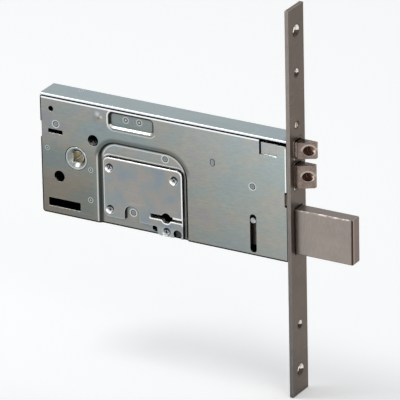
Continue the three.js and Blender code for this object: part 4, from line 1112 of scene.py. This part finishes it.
def cover():
    bm = bmesh.new()
    rim, tab_rim, label_rim = 1.5, 0.3, 0.35
    pocket = lambda grow: rounded(pocket_corners(grow), 14, closed=False)
    tab = lambda grow: rounded(tab_corners(grow), 8, closed=False)
    outline = rounded([
        (CASE_REAR, CASE_BOTTOM, 2.2),
        *pocket_corners(rim),
        (COVER_FRONT, CASE_BOTTOM, 0.48),
        (COVER_FRONT, -4.3, 0.48),
        (COVER_FRONT - 1.6, -4.3, 0.48),
        (COVER_FRONT - 1.6, 6.8, 0.48),
        (COVER_FRONT, 6.8, 0.48),
        (COVER_FRONT, 41.7, 0.48),
        (-10.5 + tab_rim, 41.7, 0),
        (-10.5 + tab_rim, 32.6 - tab_rim, 0.9 + tab_rim),
        (-24.0, 32.6 - tab_rim, 0),
        (-25.0, 32.6 - tab_rim, 0),
        (-25.0, COVER_TOP, 0.48),
        (CASE_REAR, COVER_TOP, 0.48),
        (CASE_REAR, 24.1, 0.48),
        (CASE_REAR + 0.8, 24.1, 0.2),
        (CASE_REAR + 0.8, 12.1, 0.2),
        (CASE_REAR, 12.1, 0.48),
    ], 8)
    # The pocket's and the tab's corners have their own number of steps, so their walls meet the
    # flat at the same points.
    outline = splice(outline, pocket(rim))
    outline = splice(outline, tab(tab_rim))
    fill(bm, [outline, *sheet_holes(), label_outline(label_rim)], front(COVER_FACE))
    pressed_wall(bm, pocket, rim, POCKET_DEPTH, 10, closed=False)
    fill(bm, [pocket(-rim), *floor_holes()], front(POCKET_FLOOR))
    pressed_wall(bm, label_outline, 1.0, POCKET_DEPTH, 10, closed=True, middle=label_rim - 1.0)
    fill(bm, [label_outline(label_rim - 2.0)], front(POCKET_FLOOR))
    pressed_wall(bm, tab, tab_rim, 0.8, 6, closed=False)
    fill(bm, [tab(-tab_rim) + [(-24.0, 41.7)]], front(COVER_FACE + 0.8))
    fine = lambda place: 0.5 if POCKET_FLOOR - 0.1 < place.y < POCKET_FLOOR + 0.1 else 1.0
    return soften(objectify("cover", thicken(bm, Vector((0, SHEET, 0)))), 0.4, share=fine)


def splice(outline, line):
    """The outline with its own way between the ends of line replaced by line."""
    near = lambda p: min(range(len(outline)), key=lambda i: math.dist(outline[i], p))
    first, last = near(line[0]), near(line[-1])
    if first < last:
        return outline[:first] + line + outline[last + 1:]
    return line + outline[last + 1:first]


finish(cover(), "case", "zinc_sheet", "case_cover", material=cover_zinc)


# The tray: back, top, bottom and rear walls of bent sheet, with a lug above and below


def tray():
    walls = rounded([
        (COVER_FACE, CASE_TOP, 0),
        (COVER_FACE, TOP_INSIDE, 0),
        (BACK_INSIDE, TOP_INSIDE, 0.4),
        (BACK_INSIDE, BOTTOM_INSIDE, 0.4),
        (-8.6, BOTTOM_INSIDE, 0),
        (-8.6, CASE_BOTTOM, 0),
        (BACK_FACE, CASE_BOTTOM, 2.0),
        (BACK_FACE, CASE_TOP, 2.0),
    ], 6)
    made = objectify("tray", prism([walls], side(CASE_REAR), (CASE_FRONT - CASE_REAR, 0, 0)))
    rear = box((CASE_REAR, -8.6, -45), (CASE_REAR + SHEET, 10, 45))
    carve(made, objectify("rear", rear), "UNION")
    for low, high in ((TOP_INSIDE + 0.1, 61.9), (-61.9, BOTTOM_INSIDE - 0.1)):
        outer = high if high > 0 else low
        inner = low if high > 0 else high
        lug = [[(-7, inner), (7, inner), (7, outer), (-7, outer)]]
        shape = prism(lug, side(CASE_FRONT - SHEET), (SHEET, 0, 0))
        carve(made, objectify("lug", shape), "UNION")
    tools = [rod((x, 6, z), (0, 1, 0), FIXING_RADIUS, 8) for x, z in FIXING_HOLES]
    tools += [rod((x, 6, z), (0, 1, 0), PILLAR_HOLE, 8, 40) for x, z, _ in PILLARS.values()]
    tools += [rod((x, 6, z), (0, 1, 0), 1.7, 8, 32) for x, z in (TAIL_POST, LEAF_BLOCK)]
    tools.append(rod((FOLLOWER[0], 6, FOLLOWER[1]), (0, 1, 0), FOLLOWER_HOLE, 8, 72))
    tools.append(rod((SPRING_ANCHOR[0], 6, SPRING_ANCHOR[1]), (0, 1, 0), 1.3, 8, 32))
    tools.append(prism([keyhole()], front(6), (0, 8, 0)))
    tools += [rod((-9, 0, z), (1, 0, 0), 1.8, 8, 32) for z in LUG_SCREWS]
    tools.append(box((-157.25, -12, -47), (-82.45, -6.9, -43)))
    for tool in tools:
        carve(made, objectify("tool", tool))
    return soften(made, 0.45)


finish(tray(), "case", "zinc_sheet", "case_tray")


# The guard plate in the pocket


def guard_plate():
    corners = [
        (-152.15, -39.1, 3.5),
        (-135.05, -39.1, 0.7),
        (-135.05, -27.9, 5.3),
        (-123.25, -27.9, 5.3),
        (-123.25, -39.1, 0.7),
        (-108.55, -39.1, 1.75),
        (-108.55, -45.5, 3.0),
        (-94.55, -45.5, 0.7),
        (-96.35, -39.2, 2.9),
        (-87.95, -39.2, 2.9),
        (-89.75, -45.5, 0.7),
        (-87.55, -45.5, 0.7),
        (-87.55, 6.7, 4.6),
        (-152.15, 6.7, 4.6),
    ]
    outline = lambda move: rounded(offset(corners, move), 10)
    rims = round_rims(GUARD_FACE, GUARD_BACK, 0.5)
    sunk = [(0.0, GUARD_FACE), (-0.08, GUARD_FACE + 0.05), (-1.0, GUARD_FACE + 0.95),
            (-1.05, GUARD_FACE + 1.05), (-1.05, GUARD_BACK)]
    holes = [(lambda move: keyhole(move * 0.6), rims)]
    holes += [(lambda move, at=at: circle(*at, COUNTERSINK + move, 48), sunk)
              for at in GUARD_SCREWS]
    shape = profiled_plate(outline, rims, holes, GUARD_FACE, GUARD_BACK)
    return shaded(objectify("guard_plate", shape))


finish(guard_plate(), "case", "hardened_plate", "guard_plate")


# The faceplate, pierced for the bolt and the latches


def faceplate():
    outline = rectangle(-11, 11, -149.9, 143.8, 0.6)
    openings = [rectangle(-5.5, 5.5, -41.3, -6.2, 0.4)]
    openings += [rectangle(-4.7, 4.7, low - 0.4, high + 0.4, 0.4)
                 for low, high, _ in LATCHES.values()]
    made = objectify("faceplate", prism([outline, *openings], side(-3), (3, 0, 0)))
    holes = FACEPLATE_HOLES + [(z, 1.8, 3.3) for z in LUG_SCREWS]
    for z, radius, head in holes:
        depth = head - radius
        profile = [(0, 0), (radius, 0), (radius, 6 - depth), (head, 6), (head, 7), (0, 7)]
        tool = placed(lathe(profile, 56), Matrix.Translation((-6, 0, z)) @ toward((1, 0, 0)))
        carve(made, objectify("tool", tool))
    return soften(made, 0.35)


finish(faceplate(), "case", "faceplate_steel", "faceplate")


def faceplate_bracket():
    body = box((-14.4, -8.6, -4.05), (CASE_FRONT, 8.6, 6.55))
    tab = box((-4.8, -10.2, -2.95), (CASE_FRONT, -8.0, 5.45))
    made = carve(objectify("faceplate_bracket", body), objectify("tab", tab), "UNION")
    return soften(made, 0.3)


finish(faceplate_bracket(), "case", "faceplate_steel", "faceplate_bracket")


# Screws and the swaged ends of pillars, repeated with geometry nodes


def fastener_tree():
    """Puts one object at each point, its Z along the point's axis, turned by chance about it."""
    tree = bpy.data.node_groups.new("repeat_fasteners", "GeometryNodeTree")
    face = tree.interface
    face.new_socket("Geometry", in_out="OUTPUT", socket_type="NodeSocketGeometry")
    face.new_socket("Points", in_out="INPUT", socket_type="NodeSocketGeometry")
    for label, kind in (("Fastener", "Object"), ("Greatest turn", "Float"), ("Seed", "Int"),
                        ("Finish", "Material")):
        face.new_socket(label, in_out="INPUT", socket_type="NodeSocket" + kind)
    given = add(tree, "NodeGroupInput").node.outputs
    axis = add(tree, "GeometryNodeInputNamedAttribute", {"Name": "axis"}, data_type="FLOAT_VECTOR")
    aligned = add(tree, "FunctionNodeAlignRotationToVector", {"Vector": axis}, axis="Z")
    chance = add(tree, "FunctionNodeRandomValue", {
        3: given["Greatest turn"], "Seed": given["Seed"],
    }, out=1, data_type="FLOAT")
    own = add(tree, "FunctionNodeAxisAngleToRotation", {"Axis": (0, 0, 1), "Angle": chance})
    turned = add(tree, "FunctionNodeRotateRotation", (aligned, own), rotation_space="LOCAL")
    source = add(tree, "GeometryNodeObjectInfo", {"Object": given["Fastener"]}, out="Geometry",
                 transform_space="ORIGINAL")
    copies = add(tree, "GeometryNodeInstanceOnPoints", {
        "Points": given["Points"], "Instance": source, "Rotation": turned,
    })
    real = add(tree, "GeometryNodeRealizeInstances", [copies])
    painted = add(tree, "GeometryNodeSetMaterial", {
        "Geometry": real, "Material": given["Finish"],
    })
    add(tree, "NodeGroupOutput", [painted])
    return tree


FASTENERS = fastener_tree()


def repeated(name, places, source, finish_material, turn, seed):
    """One mesh of copies of source, each at a place with an axis. The source is used up."""
    mesh = bpy.data.meshes.new(name)
    mesh.from_pydata([Vector(place) * MM for place, _ in places], [], [])
    axes = mesh.attributes.new("axis", "FLOAT_VECTOR", "POINT")
    for index, (_, axis) in enumerate(places):
        axes.data[index].vector = axis
    made = linked(name, mesh)
    modifier = made.modifiers.new("Fasteners", "NODES")
    modifier.node_group = FASTENERS
    values = {"Fastener": source, "Greatest turn": turn, "Seed": seed, "Finish": finish_material}
    for item in FASTENERS.interface.items_tree:
        if item.name in values:
            modifier[item.identifier] = values[item.name]
    settle(made)
    discard(source)
    return made


def screw(head):
    """A raised countersunk screw with a cross recess, head up, its top at the origin."""
    profile = [(0, -4.2), (1.2, -4.2), (1.5, -3.9), (1.5, -0.5 - head / 2), (head - 0.1, -0.75),
               (head, -0.6), (head - 0.15, -0.45)]
    turns = [math.pi / 2 * step / 6 for step in range(7)]
    profile += [((head - 0.25) * math.cos(a), 0.42 * math.sin(a) - 0.42) for a in turns]
    made = objectify("screw", lathe(profile, 48))
    for turn in (0, math.pi / 2):
        wing = prism([[(-1.2, -1.3), (1.2, -1.3), (1.6, 0.5), (-1.6, 0.5)]],
                     front(-0.36), (0, 0.72, 0))
        tool = placed(wing, Matrix.Rotation(turn, 4, "Z"))
        carve(made, objectify("tool", tool))
    return soften(made, 0.06, 2, 40)


guard_screws = repeated(
    "guard_screws", [((x, GUARD_FACE + 0.3, z), (0, -1, 0)) for x, z in GUARD_SCREWS],
    screw(2.4), screw_steel, math.pi / 2, 7,
)
finish(guard_screws, "case", "screw_steel",
       "guard_screw_1", "guard_screw_2", "guard_screw_3", "guard_screw_4")
faceplate_screws = repeated(
    "faceplate_screws", [((-0.35, 0, z), (1, 0, 0)) for z in LUG_SCREWS],
    screw(2.7), bronzed_screw, math.pi / 2, 4,
)
finish(faceplate_screws, "case", "screw_steel",
       "faceplate_screw_top", "faceplate_screw_bottom", material=bronzed_screw)


def swaged_end():
    """The end of a pillar, spread in its hole, with a ring and a centre punch mark."""
    profile = [(0, -0.6), (1.9, -0.6), (1.9, -0.2), (1.72, -0.02), (1.45, 0.0), (1.3, -0.1),
               (1.12, -0.12), (0.98, -0.02), (0.6, 0.0), (0.45, -0.08), (0.18, -0.4), (0, -0.48)]
    return crisp(objectify("swaged_end", lathe(profile, 40)), 60)


def pillar_shafts():
    parts = []
    for x, z, face in PILLARS.values():
        behind = face + SHEET + 0.3
        profile = [(0, face + 0.6), (1.9, face + 0.6), (1.9, behind), (2.2, behind + 0.15),
                   (2.2, BACK_INSIDE - 0.45), (1.9, BACK_INSIDE - 0.3), (1.9, BACK_FACE - 0.6),
                   (0, BACK_FACE - 0.6)]
        parts.append(placed(lathe(profile, 40),
                            Matrix.Translation((x, 0, z)) @ toward((0, 1, 0))))
    return crisp(objectify("pillar_shafts", joined(*parts)))


def merged(name, *objects):
    """One object from several finished meshes."""
    bm = bmesh.new()
    for each in objects:
        bm.from_mesh(each.data)
        discard(each)
    mesh = bpy.data.meshes.new(name)
    bm.to_mesh(mesh)
    bm.free()
    return linked(name, mesh)


pillar_ends = [((x, face + 0.02, z), (0, -1, 0)) for x, z, face in PILLARS.values()]
pillar_ends += [((x, BACK_FACE - 0.02, z), (0, 1, 0)) for x, z, _ in PILLARS.values()]
pillars = merged("pillars", pillar_shafts(),
                 repeated("pillar_ends", pillar_ends, swaged_end(), inner_steel, math.pi, 3))
finish(pillars, "case", "inner_steel", "pillar_rear", "pillar_top", "pillar_key", "pillar_front")


# The deadbolt's head: a ground block


def bolt_head():
    low, high = BOLT
    return soften(objectify("bolt_head", box(low, high)), 0.9, 4)


finish(bolt_head(), "deadbolt", "bolt_steel", "deadbolt_head")


# The latches: a bevelled nose with a round recess, on a round tail with a collar


def latch(name, bottom, top, projection):
    rear, half = -27.4, 4.3
    nose = [(rear, -half), (3.2, -half), (projection, 1.7), (projection, half), (rear, half)]
    made = objectify("latch_" + name, prism([nose], level(bottom), (0, 0, top - bottom)))
    middle = (bottom + top) / 2
    centre = projection - RECESS_BACK
    recess = rod((centre, -6, middle), (0, 1, 0), RECESS[name], 8.9, 64)
    carve(made, objectify("tool", recess))
    lip = lambda place: math.hypot(place.x - centre, place.z - middle) < 4
    soften(made, 0.45, 4, share=lambda place: 0.4 if lip(place) else 1.0)
    tail_end = rear - 50
    profile = [(0, 0), (3.3, 0), (3.6, 0.3), (3.6, 3.7), (3.3, 4), (2.5, 4.05), (2.5, 50.3),
               (0, 50.3)]
    tail = placed(lathe(profile, 48),
                  Matrix.Translation((tail_end, 0, middle)) @ toward((1, 0, 0)))
    return merged("latch_" + name, made, crisp(objectify("tail", tail)))


for name, (bottom, top, projection) in LATCHES.items():
    finish(latch(name, bottom, top, projection), name + "_latch", "cast_latch", "latch_" + name)


# The follower: a hub with a dished face and a square bore, and the arm that pulls the latches


def follower():
    profile = [(0, -7.5), (4.6, -7.5), (7.4, -10.3), (7.7, -10.5), (8.5, -10.5), (8.8, -10.2),
               (8.8, -8.62), (10.6, -8.6), (10.6, -2.0), (12.4, -1.98), (12.6, -1.8), (12.6, 1.8),
               (12.4, 1.98), (10.6, 2.0), (8.8, 2.02), (8.8, 10.2), (8.5, 10.5), (7.7, 10.5),
               (7.4, 10.3), (4.6, 7.5), (0, 7.5)]
    x, z = FOLLOWER
    body = placed(lathe(profile, 96), Matrix.Translation((x, 0, z)) @ toward((0, 1, 0)))
    made = objectify("follower", body)
    half = 4.05
    bore = box((x - half, -13, z - half), (x + half, 13, z + half))
    carve(made, objectify("tool", bore))
    crisp(made, 25)
    lean = math.radians(16.5)
    across = Vector((math.cos(lean), -math.sin(lean)))
    outward = Vector((math.sin(lean), math.cos(lean)))
    point = lambda reach, aside: tuple(Vector((x, z)) + outward * reach + across * aside)
    arm = rounded([(*point(11, -2.7), 0), (*point(11, 2.7), 0), (*point(23, 1.7), 0.5),
                   (*point(23, -1.7), 0.5)], 6)
    plate = objectify("arm", prism([arm], front(-1.95), (0, 3.9, 0)))
    tip_x, tip_z = point(23, 0)
    pad = objectify("pad", rod((tip_x, -2, tip_z), (0, 1, 0), 2.2, 4, 40))
    peg_x, peg_z = point(14, 0)
    peg = objectify("peg", rod((peg_x, 1.7, peg_z), (0, 1, 0), 1.2, 2.2, 32))
    return merged("follower", made, soften(plate, 0.3), crisp(pad), crisp(peg))


finish(follower(), "follower", "cast_zinc", "follower_hub")


# The slider's bright pin, seen through the upright slot


def slider_pin():
    profile = [(0, 10.5), (1.9, 10.5), (2.2, 10.2), (2.2, 8.82), (1.4, 8.8), (1.4, 6.5), (0, 6.5)]
    x, z = SLIDER_PIN
    pin = placed(lathe(profile, 48), Matrix.Translation((x, 0, z)) @ toward((0, -1, 0)))
    return crisp(objectify("slider_pin", pin))


finish(slider_pin(), "slider", "screw_steel", "rod_slider_pin")


# The bracket that carries the latch tails; its tenon fills a slot of the cover


def latch_bracket():
    made = objectify("latch_bracket", box((-64.3, -8.6, 12.8), (-61.3, 8.6, 44.0)))
    for low, high, _ in LATCHES.values():
        tool = rod((-67, 0, (low + high) / 2), (1, 0, 0), 2.8, 8, 48)
        carve(made, objectify("tool", tool))
    tenon = prism([slot(TENON[0], TENON[1] - 1, TENON[1] + 1, 1.5)], front(COVER_FACE), (0, 2.5, 0))
    carve(made, objectify("tenon", tenon), "UNION")
    return soften(made, 0.25)


finish(latch_bracket(), "case", "inner_steel", "latch_bracket")


# Coil springs, as round wire


def wire(name, points, radius):
    """A round wire along points, with closed ends."""
    line = bpy.data.curves.new(name, "CURVE")
    line.dimensions = "3D"
    line.bevel_depth = radius * MM
    line.bevel_resolution = 3
    line.use_fill_caps = True
    spline = line.splines.new("POLY")
    spline.points.add(len(points) - 1)
    for point, place in zip(spline.points, points):
        point.co = (*(Vector(place) * MM), 1)
    made = linked(name, line)
    graph = bpy.context.evaluated_depsgraph_get()
    mesh = bpy.data.meshes.new_from_object(made.evaluated_get(graph), depsgraph=graph)
    bpy.data.objects.remove(made)
    bpy.data.curves.remove(line)
    mesh.polygons.foreach_set("use_smooth", [True] * len(mesh.polygons))
    return crisp(linked(name, mesh))


def latch_spring(name, middle):
    rear, front_end, turns, radius = -61.0, -27.7, 9, 3.6
    steps = turns * 28
    points = []
    for step in range(steps + 1):
        angle = 2 * math.pi * turns * step / steps
        x = rear + 0.5 + (front_end - rear - 1.0) * step / steps
        points.append((x, radius * math.sin(angle), middle + radius * math.cos(angle)))
    return wire("latch_spring_" + name, points, 0.45)


for name, (bottom, top, _) in LATCHES.items():
    finish(latch_spring(name, (bottom + top) / 2), "case", "spring_steel", "latch_spring_" + name)


def follower_spring():
    turns, radius, leg = 3, 10.4, 5
    start, end = 2.85, 8.05
    angle0 = math.radians(90 - 16.5) + 2.1 / 14
    x, z = FOLLOWER
    place = lambda angle, reach, y: (x + reach * math.cos(angle), y, z + reach * math.sin(angle))
    points = [place(angle0, radius + leg, start)]
    steps = turns * 36
    for step in range(steps + 1):
        angle = angle0 + 2 * math.pi * turns * step / steps
        points.append(place(angle, radius, start + (end - start) * step / steps))
    points.append(place(angle0, radius + leg, end))
    return wire("follower_spring", points, 0.55)


finish(follower_spring(), "case", "spring_steel", "follower_spring")


# Floor, light and camera


def seen_directly(tree):
    """1 for what the camera, a reflection or a clear material sees, and 0 for light."""
    seen = 0.0
    for ray in ("Is Camera Ray", "Is Glossy Ray", "Is Transmission Ray"):
        kind = add(tree, "LightPath", out=ray)
        seen = add(tree, "Math", (seen, kind), operation="MAXIMUM")
    return seen


def pale_floor():
    """A pale matt floor that the camera and reflections see as white, with the object's shadow."""
    bm = bmesh.new()
    bmesh.ops.create_grid(bm, x_segments=1, y_segments=1, size=4.0)
    bmesh.ops.translate(bm, verts=bm.verts, vec=(0, 0, -0.1502))
    mesh = bpy.data.meshes.new("floor")
    bm.to_mesh(mesh)
    bm.free()
    floor = linked("floor", mesh)
    material = bpy.data.materials.new("pale_floor")
    material.use_nodes = True
    tree = material.node_tree
    tree.nodes.clear()
    matt = add(tree, "BsdfDiffuse", {"Color": colour("#f6f6f6")})
    lift = add(tree, "Emission", {"Color": colour("#ffffff"), "Strength": 0.24})
    dark = add(tree, "Emission", {"Strength": 0.0})
    gate = add(tree, "MixShader", (seen_directly(tree), dark, lift))
    both = add(tree, "AddShader", (matt, gate))
    add(tree, "OutputMaterial", [both])
    mesh.materials.append(material)


pale_floor()


def soft_lamp(name, place, target, size, power):
    lamp = bpy.data.lights.new(name, "AREA")
    lamp.shape = "RECTANGLE"
    lamp.size, lamp.size_y = size
    lamp.energy = power
    made = linked(name, lamp)
    made.location = place
    made.rotation_mode = "QUATERNION"
    made.rotation_quaternion = (Vector(target) - Vector(place)).to_track_quat("-Z", "Y")


CENTRE = (-0.08, 0.0, 0.0)
soft_lamp("key", (-1.0, -0.35, 1.8), CENTRE, (0.8, 0.8), 15)
soft_lamp("fill", (1.9, -1.2, 1.1), CENTRE, (1.2, 1.2), 7)
soft_lamp("back", (0.4, 2.0, 1.6), CENTRE, (2.0, 1.2), 8)

scene = bpy.context.scene
world = bpy.data.worlds.new("soft_studio")
scene.world = world
world.use_nodes = True
tree = world.node_tree
tree.nodes.clear()
background = add(tree, "Background", {"Color": colour("#ffffff"), "Strength": 1.0})
studio = add(tree, "Background", {"Color": colour("#f2f4f6"), "Strength": 0.45})
mixed = add(tree, "MixShader", (seen_directly(tree), studio, background))
add(tree, "OutputWorld", [mixed])
scene.view_settings.view_transform = "Standard"

AZIMUTH, ELEVATION, ROLL = math.radians(30.15), math.radians(23.282), math.radians(-1.195)
TARGET = Vector((-73.35, -10.5, -11.90)) * MM
DISTANCE = 4338.77 * MM
back = Vector((math.sin(AZIMUTH) * math.cos(ELEVATION), -math.cos(AZIMUTH) * math.cos(ELEVATION),
               math.sin(ELEVATION)))
flat_right = Vector((math.cos(AZIMUTH), math.sin(AZIMUTH), 0))
flat_up = back.cross(flat_right)
right = flat_right * math.cos(ROLL) + flat_up * math.sin(ROLL)
up = flat_up * math.cos(ROLL) - flat_right * math.sin(ROLL)
lens = bpy.data.cameras.new("camera")
lens.sensor_width = 36
lens.lens = 554.86
lens.clip_start, lens.clip_end = 0.1, 50
camera = linked("camera", lens)
camera.rotation_mode = "QUATERNION"
camera.rotation_quaternion = Matrix((right, up, back)).transposed().to_quaternion()
camera.location = TARGET + back * DISTANCE
scene.camera = camera
